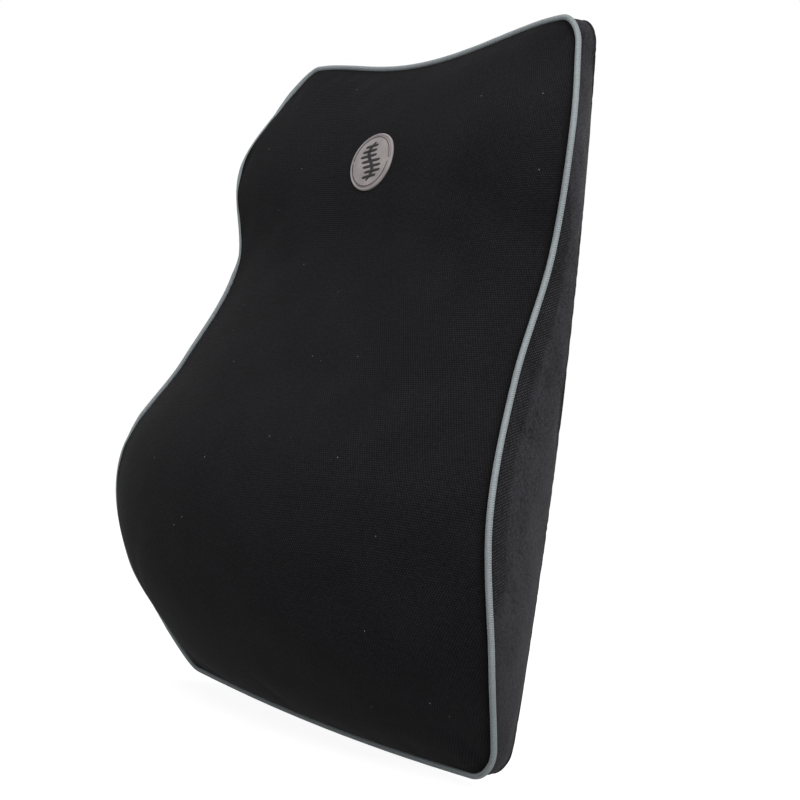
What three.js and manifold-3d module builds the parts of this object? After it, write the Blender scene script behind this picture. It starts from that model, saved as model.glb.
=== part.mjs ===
// A tall back cushion for an office chair: a contoured foam block in a zipped cover with a
// piped front seam, a round badge, and an elastic strap with a side-release buckle behind it.
// Millimetres, +Z up. The front faces -Y and the flat back lies in the plane y = 0.
// The outline is worked out with z = 0 at the bottom edge. The group at the end then moves
// everything, so that the origin is the middle of the lower back panel.
import * as THREE from "three";
import { mergeVertices } from "three/addons/utils/BufferGeometryUtils.js";
import Module from "manifold-3d";

const wasm = await Module();
wasm.setup();

// ---------------------------------------------------------------- driving dimensions
const CUSHION_HEIGHT = 450;
const CUSHION_WIDTH = 382; // across the front seam where it is widest
const BACK_BASE_WIDTH = CUSHION_WIDTH * 0.796;
const BACK_TOP_WIDTH = CUSHION_WIDTH * 0.702;
const BACK_SIDE_BOW = 8; // how far each side of the back outline bows out at mid height

// The front seam's profile, at evenly spaced heights from the bottom edge to the top edge:
// how far the seam is in from the full width, how far it stands in front of the back, and
// how far the padded face domes out in front of the seam. The insets are those of a cushion
// STATION_WIDTH wide, and grow with the width.
const STATION_WIDTH = 382;
const STATIONS = [
  { place: "base", inset: 34, seamDepth: 18, crown: 37 },
  { place: "hips", inset: 4, seamDepth: 66, crown: 48 },
  { place: "lumbar", inset: 2, seamDepth: 86, crown: 42 },
  { place: "waist", inset: 23, seamDepth: 61, crown: 28 },
  { place: "ribs", inset: 32, seamDepth: 37, crown: 19 },
  { place: "shoulders", inset: 30, seamDepth: 38, crown: 10 },
  { place: "top", inset: 57, seamDepth: 16, crown: 8 },
];
const DOME_POWER_LOW = 2.7; // a gentle dome from side to side below the shoulders
const DOME_POWER_HIGH = 7; // a flat face with quick edges above them
const DOME_CHANGE_HEIGHT = 333;
const DOME_CHANGE_SPAN = 18;
const BASE_ROUNDING = 32; // height over which the face curls in to the bottom seam
const TOP_ROUNDING = 22;
const CORNER_RADIUS = 13;
const TOP_DIP = 12; // the top seam sags between two raised corners
const TOP_EAR_RISE = 12;
const BACK_TOP_DIP = 5;
const BASE_BOW = 6; // the bottom corners lie this much above the bottom's middle
const GUSSET_BULGE_SHARE = 0.03; // how far the band swells, as a share of its own width

const COVER_THICKNESS = 2;
const LINER_THICKNESS = 0.8;
const LINER_INSET = COVER_THICKNESS + 2;
const LINER_BACK_INSET = COVER_THICKNESS + 4.5; // clear of the zip's inner plate
const FOAM_INSET = LINER_INSET + 2.6;
const SEAM_ALLOWANCE = 2; // each panel stops this far from the seam line
const CLEARANCE = 0.3; // between pieces that touch

const PIPING_RADIUS = 2;
const PIPING_WALL = 0.6;
const PIPING_LIFT = 1.8; // the piping's centre stands this far out of the seam line
const PIPING_OPEN_HALF_ANGLE = 35;

const BADGE_RADIUS = 20;
const BADGE_THICKNESS = 1.6;
const BADGE_HEIGHT = 361;
const EMBLEM_THICKNESS = 0.5;
const EMBLEM_STROKE = 2.6;
const EMBLEM_SPAN = 18;

const ZIP_HEIGHT = 118;
const ZIP_GAP = 11; // between the two back panels
const ZIP_TAPE_WIDTH = 12;
const ZIP_TAPE_THICKNESS = 0.6;
const ZIP_THROAT = 1.2; // between the two tapes
const ZIP_COIL_WIDTH = 1.6;
const ZIP_COIL_THICKNESS = COVER_THICKNESS - 0.1;
const ZIP_END_MARGIN = 12;
const ZIP_STOP_LENGTH = 3;
const ZIP_TAB_LENGTH = 10;
const ZIP_TAB_WIDTH = 10;
const ZIP_TAB_THICKNESS = 0.8;
const SLIDER_LENGTH = 9;
const SLIDER_WIDTH = 7;
const SLIDER_PLATE = 1.1;
const SLIDER_CHEEK_HEIGHT = 3.2;
const PULL_LENGTH = 26;
const PULL_WIDTH = 6;
const PULL_THICKNESS = 1.2;
const PULL_KNUCKLE_WIDTH = 3;
const PULL_PIN_RADIUS = 0.6;

const LABEL_WIDTH = 32;
const LABEL_LENGTH = 44;
const LABEL_THICKNESS = 0.8;
const LABEL_PLACE = -92;

const STRAP_HEIGHT = 262;
const STRAP_WIDTH = 30;
const STRAP_THICKNESS = 1.4;
const STRAP_RETURN_LENGTH = 42;
const STRAP_TAIL_LENGTH = 98;
const BARTACK_LENGTH = 3;
const BARTACK_THICKNESS = 0.6;

const BUCKLE_WIDTH = 42;
const BUCKLE_THICKNESS = 10;
const BUCKLE_WALL = 1.8;
const HOUSING_LENGTH = 30;
const HOUSING_CORNER = 5;
const SOCKET_DEPTH = 19;
const SOCKET_WIDTH = 33;
const WINDOW_LENGTH = 10;
const WINDOW_OFFSET = 4;
const BUCKLE_BAR = 3.5;
const BUCKLE_BAR_THICKNESS = 3.2;
const BUCKLE_SLOT = 5;
const PLUG_LENGTH = 20;
const GUIDE_WIDTH = 15;
const ARM_LENGTH = 15.3;
const ARM_WIDTH = 4.9;

const ADJUSTER_LENGTH = 20;
const ADJUSTER_BAR = 2;
const ADJUSTER_RAIL = 3;
const ADJUSTER_PLACE = 82;

// ---------------------------------------------------------------- how finely curves are cut
const SIDE_STEPS = 12;
const END_STEPS = 10;
const CORNER_STEPS = 3;
const FACE_RINGS = [0.985, 0.955, 0.91, 0.84, 0.7, 0.5, 0.26];
const CORE_RINGS = [0.95, 0.87, 0.7, 0.5, 0.26];

// ---------------------------------------------------------------- materials
function finish(color, roughness, metalness = 0) {
  return new THREE.MeshStandardMaterial({ color, roughness, metalness });
}

const MATERIALS = {
  meshFabric: () => finish(0x202022, 0.95),
  gussetFabric: () => finish(0x3b3b3d, 0.9),
  backFabric: () => finish(0x262628, 0.95),
  pipingFabric: () => finish(0x7e8692, 0.8),
  cord: () => finish(0xd8d6d0, 0.9),
  foam: () => finish(0xe6dcc0, 0.95),
  liner: () => finish(0xe9e9e6, 0.9),
  badge: () => finish(0x958f8f, 0.55),
  emblem: () => finish(0x2b2a2c, 0.6),
  zipTape: () => finish(0x1d1d1f, 0.9),
  zipCoil: () => finish(0x161617, 0.5),
  zipMetal: () => finish(0x2a2a2c, 0.35, 0.8),
  webbing: () => finish(0x1b1b1c, 0.9),
  thread: () => finish(0x2e2e30, 0.85),
  plastic: () => finish(0x141415, 0.45),
  label: () => finish(0xdededa, 0.85),
};

// ---------------------------------------------------------------- solids from rows of points
// Joins rows of points into a closed skin. Each row is a closed ring of the same number of
// points. A pole closes an end to one point. Without poles the last row joins the first.
// Each four-sided patch is split along its shorter diagonal, so that nested skins match.
function skin(rows, firstPole = null, lastPole = null) {
  const count = rows[0].length;
  const points = rows.flat();
  const faces = [];
  const index = (row, i) => (row % rows.length) * count + (i % count);
  const strips = firstPole ? rows.length - 1 : rows.length;
  for (let row = 0; row < strips; row++) {
    for (let i = 0; i < count; i++) {
      const [a, b] = [index(row, i), index(row + 1, i)];
      const [c, d] = [index(row + 1, i + 1), index(row, i + 1)];
      if (points[a].distanceTo(points[c]) < points[b].distanceTo(points[d])) {
        faces.push([a, b, c], [a, c, d]);
      } else {
        faces.push([a, b, d], [b, c, d]);
      }
    }
  }
  if (firstPole) {
    const first = points.push(firstPole) - 1;
    const last = points.push(lastPole) - 1;
    for (let i = 0; i < count; i++) {
      faces.push([first, index(0, i), index(0, i + 1)]);
      faces.push([last, index(rows.length - 1, i + 1), index(rows.length - 1, i)]);
    }
  }
  return facingOut(points, faces);
}

// An indexed geometry from points and faces, turned so that the faces point outwards.
function facingOut(points, faces) {
  let volume = 0;
  for (const [a, b, c] of faces) {
    volume += points[a].dot(new THREE.Vector3().crossVectors(points[b], points[c]));
  }
  const turned = volume < 0 ? faces.map(([a, b, c]) => [a, c, b]) : faces;
  const geometry = new THREE.BufferGeometry().setFromPoints(points);
  geometry.setIndex(turned.flat());
  return geometry;
}

// The same rows moved by a distance along the surface's own normals.
function offsetRows(rows, distance) {
  return rows.map((row, r) =>
    row.map((point, i) => {
      const along = row[(i + 1) % row.length].clone().sub(row.at(i - 1));
      const across = (rows[r + 1] ?? row)[i].clone().sub((rows[r - 1] ?? row)[i]);
      const normal = along.cross(across).normalize();
      return point.clone().addScaledVector(normal, distance);
    }),
  );
}

function asSolid(geometry) {
  const bare = geometry.clone();
  bare.deleteAttribute("normal");
  bare.deleteAttribute("uv");
  const merged = mergeVertices(bare, 1e-4);
  return new wasm.Manifold(
    new wasm.Mesh({
      numProp: 3,
      vertProperties: merged.attributes.position.array,
      triVerts: new Uint32Array(merged.index.array),
    }),
  );
}

function asGeometry(solid) {
  const mesh = solid.getMesh();
  const geometry = new THREE.BufferGeometry();
  geometry.setAttribute("position", new THREE.BufferAttribute(mesh.vertProperties, 3));
  geometry.setIndex(new THREE.BufferAttribute(mesh.triVerts, 1));
  return geometry;
}

function cut(base, ...tools) {
  return asGeometry(tools.reduce((left, tool) => left.subtract(asSolid(tool)), asSolid(base)));
}

function join(base, ...others) {
  return asGeometry(others.reduce((sum, other) => sum.add(asSolid(other)), asSolid(base)));
}

function common(base, other) {
  return asGeometry(asSolid(base).intersect(asSolid(other)));
}

// A box between two values on each axis.
function block([x0, x1], [y0, y1], [z0, z1]) {
  const box = new THREE.BoxGeometry(x1 - x0, y1 - y0, z1 - z0);
  return box.translate((x0 + x1) / 2, (y0 + y1) / 2, (z0 + z1) / 2);
}

// A plate with rounded corners that lies in X and Z and fills y0 to y1.
function roundedPlate([x0, x1], [y0, y1], [z0, z1], radius, steps = 3) {
  const shape = new THREE.Shape();
  shape.moveTo(x0 + radius, z0);
  shape.absarc(x1 - radius, z0 + radius, radius, -Math.PI / 2, 0);
  shape.absarc(x1 - radius, z1 - radius, radius, 0, Math.PI / 2);
  shape.absarc(x0 + radius, z1 - radius, radius, Math.PI / 2, Math.PI);
  shape.absarc(x0 + radius, z0 + radius, radius, Math.PI, Math.PI * 1.5);
  return standing(shape, [y0, y1], steps);
}

// A shape drawn in X and Z, filled from y0 to y1.
function standing(shape, [y0, y1], curveSegments = 6) {
  const depth = y1 - y0;
  const plate = new THREE.ExtrudeGeometry(shape, { depth, bevelEnabled: false, curveSegments });
  return plate.rotateX(Math.PI / 2).translate(0, y1, 0);
}

// ---------------------------------------------------------------- the cushion's shape
function alongHeight(key) {
  const curve = new THREE.SplineCurve(STATIONS.map((s, i) => new THREE.Vector2(i, s[key])));
  return (z) => curve.getPoint(THREE.MathUtils.clamp(z / CUSHION_HEIGHT, 0, 1)).y;
}

const seamInset = alongHeight("inset");
const seamDepth = alongHeight("seamDepth");
const crown = alongHeight("crown");

function frontHalfWidth(z) {
  return CUSHION_WIDTH / 2 - (seamInset(z) * CUSHION_WIDTH) / STATION_WIDTH;
}

function backHalfWidth(z) {
  const share = z / CUSHION_HEIGHT;
  const straight = THREE.MathUtils.lerp(BACK_BASE_WIDTH, BACK_TOP_WIDTH, share) / 2;
  return straight + BACK_SIDE_BOW * 4 * share * (1 - share);
}

function domePower(z) {
  const step = 1 / (1 + Math.exp((DOME_CHANGE_HEIGHT - z) / DOME_CHANGE_SPAN));
  return THREE.MathUtils.lerp(DOME_POWER_LOW, DOME_POWER_HIGH, step);
}

function bottomEdge(across) {
  return BASE_BOW * across ** 2;
}

function topEdge(across, dip, rise) {
  const middle = 1 - across ** 2;
  return CUSHION_HEIGHT + rise * middle - (dip + rise) * middle ** 2;
}

// A quarter-round rise from 0 at an edge to 1 at the given distance from it.
function rounding(distance, reach) {
  const share = THREE.MathUtils.clamp(distance / reach, 0, 1);
  return Math.sqrt(1 - (1 - share) ** 2);
}

// The outline as points from -1 to 1 across and up, anticlockwise seen from the front.
function outline() {
  const rx = CORNER_RADIUS / (CUSHION_WIDTH / 2);
  const rz = CORNER_RADIUS / (CUSHION_HEIGHT / 2);
  const corners = [[1, -1], [1, 1], [-1, 1], [-1, -1]];
  const points = [];
  corners.forEach(([sx, sz], c) => {
    const start = -Math.PI / 2 + (c * Math.PI) / 2;
    for (let i = 0; i <= CORNER_STEPS; i++) {
      const angle = start + (i / CORNER_STEPS) * (Math.PI / 2);
      const across = sx * (1 - rx) + rx * Math.cos(angle);
      const up = sz * (1 - rz) + rz * Math.sin(angle);
      points.push({ across, up });
    }
    const from = points.at(-1);
    const steps = c % 2 === 0 ? SIDE_STEPS : END_STEPS;
    const [nx, nz] = corners[(c + 1) % 4];
    const to = c % 2 === 0 ? { across: sx, up: nz * (1 - rz) } : { across: nx * (1 - rx), up: sz };
    for (let i = 1; i < steps; i++) {
      const share = i / steps;
      points.push({
        across: THREE.MathUtils.lerp(from.across, to.across, share),
        up: THREE.MathUtils.lerp(from.up, to.up, share),
      });
    }
  });
  return points;
}

const OUTLINE = outline();

// A point on the padded face: ring is 1 on the seam and 0 in the middle of the face.
function facePoint({ across, up }, ring, inset = 0) {
  const reach = ring * (1 - inset / (BACK_BASE_WIDTH / 2));
  const s = across * reach;
  const share = (up * reach + 1) / 2;
  const z = THREE.MathUtils.lerp(bottomEdge(s), topEdge(s, TOP_DIP, TOP_EAR_RISE), share);
  const square = ring / Math.max(Math.abs(across), Math.abs(up), Number.EPSILON);
  const sideways = 1 - Math.abs(across * square) ** domePower(z);
  const fromBase = ((up * square + 1) / 2) * CUSHION_HEIGHT;
  const ends = rounding(fromBase, BASE_ROUNDING) * rounding(CUSHION_HEIGHT - fromBase, TOP_ROUNDING);
  const depth = seamDepth(z) + crown(z) * sideways * ends;
  const sink = inset * THREE.MathUtils.lerp(1.25, 0.6, ring ** 4);
  return new THREE.Vector3(s * frontHalfWidth(z), -(depth - sink), z);
}

// A point on the flat back, at the same place round the outline, sunk by a depth.
function backPoint({ across, up }, ring, inset = 0, sunk = 0) {
  const reach = ring * (1 - inset / (BACK_BASE_WIDTH / 2));
  const s = across * reach;
  const share = (up * reach + 1) / 2;
  const z = THREE.MathUtils.lerp(bottomEdge(s), topEdge(s, BACK_TOP_DIP, 0), share);
  return new THREE.Vector3(s * backHalfWidth(z), -sunk, z);
}

// Rows of a body that nests inside the cover: face, sides, then the back as far as a ring.
function coreRows(inset, sunk, backRing) {
  const face = CORE_RINGS.map((ring) => OUTLINE.map((p) => facePoint(p, ring, inset))).reverse();
  const front = OUTLINE.map((p) => facePoint(p, 1, inset));
  const rear = OUTLINE.map((p) => backPoint(p, 1, inset, sunk));
  const middle = front.map((point, i) => point.clone().lerp(rear[i], 0.5));
  const back = OUTLINE.map((p) => backPoint(p, backRing, inset, sunk));
  return [...face, front, middle, rear, back];
}

const CENTRE = { across: 0, up: 0 };
const facePole = (inset) => facePoint(CENTRE, 0, inset);

// ---------------------------------------------------------------- padding and cover
function foamCore() {
  const sunk = LINER_BACK_INSET + LINER_THICKNESS + 2 * CLEARANCE;
  const rows = coreRows(FOAM_INSET, sunk, 0.5);
  return skin(rows, facePole(FOAM_INSET), backPoint(CENTRE, 0, FOAM_INSET, sunk));
}

// A thin sock round the foam with an oval mouth at the back, where the foam goes in.
function innerLiner() {
  const mouth = 0.72;
  const innerInset = LINER_INSET + LINER_THICKNESS;
  const outer = coreRows(LINER_INSET, LINER_BACK_INSET, mouth);
  const inner = coreRows(innerInset, LINER_BACK_INSET + LINER_THICKNESS, mouth);
  return skin([...outer, ...inner.reverse()], facePole(LINER_INSET), facePole(innerInset));
}

const SEAM = OUTLINE.map((p) => facePoint(p, 1));
const REAR_EDGE = OUTLINE.map((p) => backPoint(p, 1));

function frontPanel() {
  const rings = FACE_RINGS.map((ring) => OUTLINE.map((p) => facePoint(p, ring)));
  const rim = SEAM.map((seam, i) => {
    const inward = rings[0][i].clone().sub(seam).normalize();
    return seam.clone().addScaledVector(inward, SEAM_ALLOWANCE);
  });
  const outer = [rim, ...rings].reverse();
  const inner = offsetRows(outer, COVER_THICKNESS);
  const pole = facePole(0);
  const innerPole = pole.clone().setY(pole.y + COVER_THICKNESS);
  return skin([...outer, ...inner.reverse()], pole, innerPole);
}

// The band round the sides, from the piped seam to the rear edge.
function sideGusset() {
  const row = (share) =>
    SEAM.map((seam, i) => {
      const rear = REAR_EDGE[i];
      const start = SEAM_ALLOWANCE / seam.distanceTo(rear);
      const place = THREE.MathUtils.lerp(start, 1, share);
      const along = SEAM[(i + 1) % SEAM.length].clone().sub(SEAM.at(i - 1));
      const out = rear.clone().sub(seam).cross(along).normalize();
      const bulge = GUSSET_BULGE_SHARE * seam.distanceTo(rear) * 4 * share * (1 - share);
      return seam.clone().lerp(rear, place).addScaledVector(out, bulge);
    });
  const outer = [0, 0.35, 0.7, 1].map(row);
  const inner = offsetRows(outer, -COVER_THICKNESS);
  inner.at(-1).forEach((point) => point.setY(0));
  return skin([...outer, ...inner.reverse()]);
}

// The back's flat panel, inside the gusset's rear edge.
function backPanel() {
  const margin = COVER_THICKNESS + 2 * CLEARANCE;
  const shape = new THREE.Shape(
    OUTLINE.map((p) => {
      const edge = backPoint(p, 1);
      const width = (edge.x * (backHalfWidth(edge.z) - margin)) / backHalfWidth(edge.z);
      const middle = CUSHION_HEIGHT / 2;
      return new THREE.Vector2(width, middle + (edge.z - middle) * (1 - margin / middle));
    }),
  );
  return standing(shape, [-COVER_THICKNESS, 0]);
}

function backPanelUpper() {
  const above = block([-CUSHION_WIDTH, CUSHION_WIDTH], [-10, 10], [ZIP_HEIGHT + ZIP_GAP / 2, 2 * CUSHION_HEIGHT]);
  return common(backPanel(), above);
}

function backPanelLower() {
  const below = block([-CUSHION_WIDTH, CUSHION_WIDTH], [-10, 10], [-10, ZIP_HEIGHT - ZIP_GAP / 2]);
  return common(backPanel(), below);
}

// ---------------------------------------------------------------- piping
// Rows along the seam for a section given as [angle, radius] pairs. Angle 0 points out of
// the cushion, away from the corner that the face and the gusset make.
function pipingRows(section) {
  const frames = SEAM.map((seam, i) => {
    const fromFace = seam.clone().sub(facePoint(OUTLINE[i], 0.97)).normalize();
    const fromSide = seam.clone().sub(REAR_EDGE[i]).normalize();
    const tangent = SEAM[(i + 1) % SEAM.length].clone().sub(SEAM.at(i - 1)).normalize();
    const out = fromFace.add(fromSide);
    out.addScaledVector(tangent, -out.dot(tangent)).normalize();
    const centre = seam.clone().addScaledVector(out, PIPING_LIFT);
    return { centre, out, side: new THREE.Vector3().crossVectors(tangent, out) };
  });
  return section.map(([angle, radius]) =>
    frames.map(({ centre, out, side }) =>
      centre
        .clone()
        .addScaledVector(out, radius * Math.cos(angle))
        .addScaledVector(side, radius * Math.sin(angle)),
    ),
  );
}

// The bias strip that wraps the cord and opens towards the seam.
function pipingWrap() {
  const sweep = Math.PI - THREE.MathUtils.degToRad(PIPING_OPEN_HALF_ANGLE);
  const angles = [-1, -0.6, -0.2, 0.2, 0.6, 1].map((share) => share * sweep);
  const outer = angles.map((angle) => [angle, PIPING_RADIUS]);
  const inner = angles.map((angle) => [angle, PIPING_RADIUS - PIPING_WALL]).reverse();
  return skin(pipingRows([...outer, ...inner]));
}

function pipingCord() {
  const radius = PIPING_RADIUS - PIPING_WALL - CLEARANCE;
  const sides = 6;
  const section = Array.from({ length: sides }, (_, i) => [(i / sides) * 2 * Math.PI, radius]);
  return skin(pipingRows(section));
}

// ---------------------------------------------------------------- badge
// Where the badge lies: clear of the face all round its rim, and tilted as the face is.
function badgeSeat(panel) {
  const ray = new THREE.Raycaster();
  const faceAt = (x, z) => {
    ray.set(new THREE.Vector3(x, -2 * CUSHION_WIDTH, z), new THREE.Vector3(0, 1, 0));
    return ray.intersectObject(panel)[0].point;
  };
  const top = faceAt(0, BADGE_HEIGHT + BADGE_RADIUS);
  const bottom = faceAt(0, BADGE_HEIGHT - BADGE_RADIUS);
  const tilt = Math.atan2(top.y - bottom.y, top.z - bottom.z);
  const seat = (z) => bottom.y + (z - bottom.z) * Math.tan(tilt);
  const steps = 24;
  let proud = 0;
  for (let i = 0; i <= steps; i++) {
    const angle = (i / steps) * 2 * Math.PI;
    const reach = i === steps ? 0 : BADGE_RADIUS;
    const point = faceAt(reach * Math.cos(angle), BADGE_HEIGHT + reach * Math.sin(angle));
    proud = Math.max(proud, seat(point.z) - point.y);
  }
  return { tilt, y: seat(BADGE_HEIGHT) - proud - CLEARANCE };
}

function badgeDisc() {
  return new THREE.CylinderGeometry(BADGE_RADIUS, BADGE_RADIUS, BADGE_THICKNESS, 24).translate(0, -BADGE_THICKNESS / 2, 0);
}

// A plain S-shaped stroke, like the side view of a spine.
function badgeEmblem() {
  const spine = new THREE.CubicBezierCurve(
    new THREE.Vector2(-EMBLEM_SPAN / 4, -EMBLEM_SPAN / 2),
    new THREE.Vector2(EMBLEM_SPAN / 2, -EMBLEM_SPAN / 6),
    new THREE.Vector2(-EMBLEM_SPAN / 2, EMBLEM_SPAN / 6),
    new THREE.Vector2(EMBLEM_SPAN / 4, EMBLEM_SPAN / 2),
  );
  const back = -BADGE_THICKNESS - CLEARANCE;
  return standing(ribbon(spine.getPoints(10), EMBLEM_STROKE), [back - EMBLEM_THICKNESS, back]);
}

// ---------------------------------------------------------------- ribbons
// A closed shape of even width along a list of points.
function ribbon(points, width) {
  const side = (sign) =>
    points.map((point, i) => {
      const before = points[Math.max(i - 1, 0)];
      const after = points[Math.min(i + 1, points.length - 1)];
      const along = after.clone().sub(before).normalize();
      return new THREE.Vector2(point.x - (sign * along.y * width) / 2, point.y + (sign * along.x * width) / 2);
    });
  return new THREE.Shape([...side(1), ...side(-1).reverse()]);
}

// A strip of webbing whose path is drawn in X and Y, at the strap's height.
function webbing(points) {
  const settings = { depth: STRAP_WIDTH, bevelEnabled: false };
  const strip = new THREE.ExtrudeGeometry(ribbon(points, STRAP_THICKNESS), settings);
  return strip.translate(0, 0, STRAP_HEIGHT - STRAP_WIDTH / 2);
}

// ---------------------------------------------------------------- zip
const ZIP_HALF_LENGTH = backHalfWidth(ZIP_HEIGHT) - COVER_THICKNESS - ZIP_END_MARGIN;
const TAPE_BACK = -COVER_THICKNESS - CLEARANCE;
const COIL_FRONT = TAPE_BACK + CLEARANCE / 2;
const COIL_BACK = COIL_FRONT + ZIP_COIL_THICKNESS;
const TAPE_FRONT = TAPE_BACK - ZIP_TAPE_THICKNESS;

function zipTape(side) {
  const near = ZIP_THROAT / 2;
  const z = [ZIP_HEIGHT + side * near, ZIP_HEIGHT + side * (near + ZIP_TAPE_WIDTH)];
  z.sort((a, b) => a - b);
  return block([-ZIP_HALF_LENGTH, ZIP_HALF_LENGTH], [TAPE_FRONT, TAPE_BACK], z);
}

const COIL_HALF_LENGTH = ZIP_HALF_LENGTH - ZIP_STOP_LENGTH - 2 * CLEARANCE;

function zipCoil(side) {
  const near = ZIP_THROAT / 2;
  const radius = ZIP_COIL_THICKNESS / 2;
  const coil = new THREE.CylinderGeometry(radius, radius, 2 * COIL_HALF_LENGTH, 8).rotateZ(Math.PI / 2);
  coil.scale(1, 1, ZIP_COIL_WIDTH / ZIP_COIL_THICKNESS);
  const z = ZIP_HEIGHT + side * (near + ZIP_COIL_WIDTH / 2);
  return coil.translate(0, (COIL_BACK + COIL_FRONT) / 2, z);
}

function zipStop(side) {
  const inner = COIL_HALF_LENGTH + CLEARANCE;
  const x = [side * inner, side * (inner + ZIP_STOP_LENGTH)].sort((a, b) => a - b);
  const half = ZIP_THROAT / 2 + ZIP_COIL_WIDTH;
  return block(x, [COIL_FRONT, COIL_BACK], [ZIP_HEIGHT - half, ZIP_HEIGHT + half]);
}

// The folded fabric tab that covers each end of the zip.
function zipEndTab(side) {
  const inner = ZIP_HALF_LENGTH - ZIP_STOP_LENGTH / 2;
  const x = [side * inner, side * (inner + ZIP_TAB_LENGTH)].sort((a, b) => a - b);
  const z = [ZIP_HEIGHT - ZIP_TAB_WIDTH / 2, ZIP_HEIGHT + ZIP_TAB_WIDTH / 2];
  return block(x, [CLEARANCE, CLEARANCE + ZIP_TAB_THICKNESS], z);
}

const SLIDER_PLACE = COIL_HALF_LENGTH - SLIDER_LENGTH / 2 - 2;
const SLIDER_TOP = CLEARANCE + SLIDER_PLATE;
const PIN_Y = SLIDER_TOP + SLIDER_CHEEK_HEIGHT / 2;

// Two plates joined by a neck that runs between the coils, and two cheeks with the pull's pin.
function zipSlider() {
  const x = [SLIDER_PLACE - SLIDER_LENGTH / 2, SLIDER_PLACE + SLIDER_LENGTH / 2];
  const half = SLIDER_WIDTH / 2;
  const wide = [ZIP_HEIGHT - half, ZIP_HEIGHT + half];
  const innerBack = TAPE_FRONT - CLEARANCE;
  const neckHalf = ZIP_THROAT / 2 - CLEARANCE;
  const neck = block(x, [innerBack - 0.2, CLEARANCE + 0.2], [ZIP_HEIGHT - neckHalf, ZIP_HEIGHT + neckHalf]);
  const outerPlate = roundedPlate(x, [CLEARANCE, SLIDER_TOP], wide, 1.5);
  const innerPlate = block(x, [innerBack - SLIDER_PLATE, innerBack], wide);
  const cheekInner = PULL_KNUCKLE_WIDTH / 2 + CLEARANCE;
  const cheekX = [SLIDER_PLACE - SLIDER_CHEEK_HEIGHT / 2, SLIDER_PLACE + SLIDER_CHEEK_HEIGHT / 2];
  const cheekY = [SLIDER_TOP - 0.2, SLIDER_TOP + SLIDER_CHEEK_HEIGHT];
  const cheeks = [1, -1].map((side) => {
    const z = [ZIP_HEIGHT + side * cheekInner, ZIP_HEIGHT + side * half].sort((a, b) => a - b);
    return block(cheekX, cheekY, z);
  });
  const pin = new THREE.CylinderGeometry(PULL_PIN_RADIUS, PULL_PIN_RADIUS, 2 * cheekInner + 1, 12);
  pin.rotateX(Math.PI / 2).translate(SLIDER_PLACE, PIN_Y, ZIP_HEIGHT);
  return join(outerPlate, neck, innerPlate, ...cheeks, pin);
}

// A tab with a bored knuckle on the slider's pin. It lies towards -X, over the coils.
function zipPull() {
  const knuckleRadius = SLIDER_CHEEK_HEIGHT / 2 - CLEARANCE;
  const knuckle = new THREE.CylinderGeometry(knuckleRadius, knuckleRadius, PULL_KNUCKLE_WIDTH, 16);
  knuckle.rotateX(Math.PI / 2).translate(SLIDER_PLACE, PIN_Y, ZIP_HEIGHT);
  const y = [PIN_Y - PULL_THICKNESS / 2, PIN_Y + PULL_THICKNESS / 2];
  const shoulder = SLIDER_PLACE - SLIDER_LENGTH / 2;
  const half = PULL_KNUCKLE_WIDTH / 2;
  const stem = block([shoulder - 1, SLIDER_PLACE], y, [ZIP_HEIGHT - half, ZIP_HEIGHT + half]);
  const tabZ = [ZIP_HEIGHT - PULL_WIDTH / 2, ZIP_HEIGHT + PULL_WIDTH / 2];
  const tab = roundedPlate([SLIDER_PLACE - PULL_LENGTH, shoulder], y, tabZ, 2);
  const bore = new THREE.CylinderGeometry(PULL_PIN_RADIUS + CLEARANCE, PULL_PIN_RADIUS + CLEARANCE, 2 * PULL_WIDTH, 12);
  bore.rotateX(Math.PI / 2).translate(SLIDER_PLACE, PIN_Y, ZIP_HEIGHT);
  const eyelet = new THREE.CylinderGeometry(1.4, 1.4, 4 * PULL_THICKNESS, 12);
  eyelet.translate(SLIDER_PLACE - PULL_LENGTH + PULL_WIDTH / 2, PIN_Y, ZIP_HEIGHT);
  return cut(join(knuckle, stem, tab), bore, eyelet);
}

function careLabel() {
  const bottom = ZIP_HEIGHT + SLIDER_WIDTH / 2 + 2;
  const x = [LABEL_PLACE - LABEL_WIDTH / 2, LABEL_PLACE + LABEL_WIDTH / 2];
  return block(x, [CLEARANCE, CLEARANCE + LABEL_THICKNESS], [bottom, bottom + LABEL_LENGTH]);
}

// ---------------------------------------------------------------- buckle and strap
const BUCKLE_BACK = 0.6;
const BUCKLE_FRONT = BUCKLE_BACK + BUCKLE_THICKNESS;
const BUCKLE_MIDDLE = (BUCKLE_BACK + BUCKLE_FRONT) / 2;
const BAR_Y = [BUCKLE_MIDDLE - BUCKLE_BAR_THICKNESS / 2, BUCKLE_MIDDLE + BUCKLE_BAR_THICKNESS / 2];
const SLOT_HALF = STRAP_WIDTH / 2 + 2 * CLEARANCE;
const BUCKLE_Z = [STRAP_HEIGHT - BUCKLE_WIDTH / 2, STRAP_HEIGHT + BUCKLE_WIDTH / 2];
const SOCKET_Y = [BUCKLE_BACK + BUCKLE_WALL, BUCKLE_FRONT - BUCKLE_WALL];
const around = (half) => [STRAP_HEIGHT - half, STRAP_HEIGHT + half];

// The cuts that leave a strap slot and a thin bar at one end of a buckle half.
function barCuts(slotX, barX) {
  const whole = [BUCKLE_BACK - 1, BUCKLE_FRONT + 1];
  const slot = block(slotX, whole, around(SLOT_HALF));
  const behind = block(barX, [whole[0], BAR_Y[0]], around(SLOT_HALF));
  const before = block(barX, [BAR_Y[1], whole[1]], around(SLOT_HALF));
  return [slot, behind, before];
}

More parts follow.
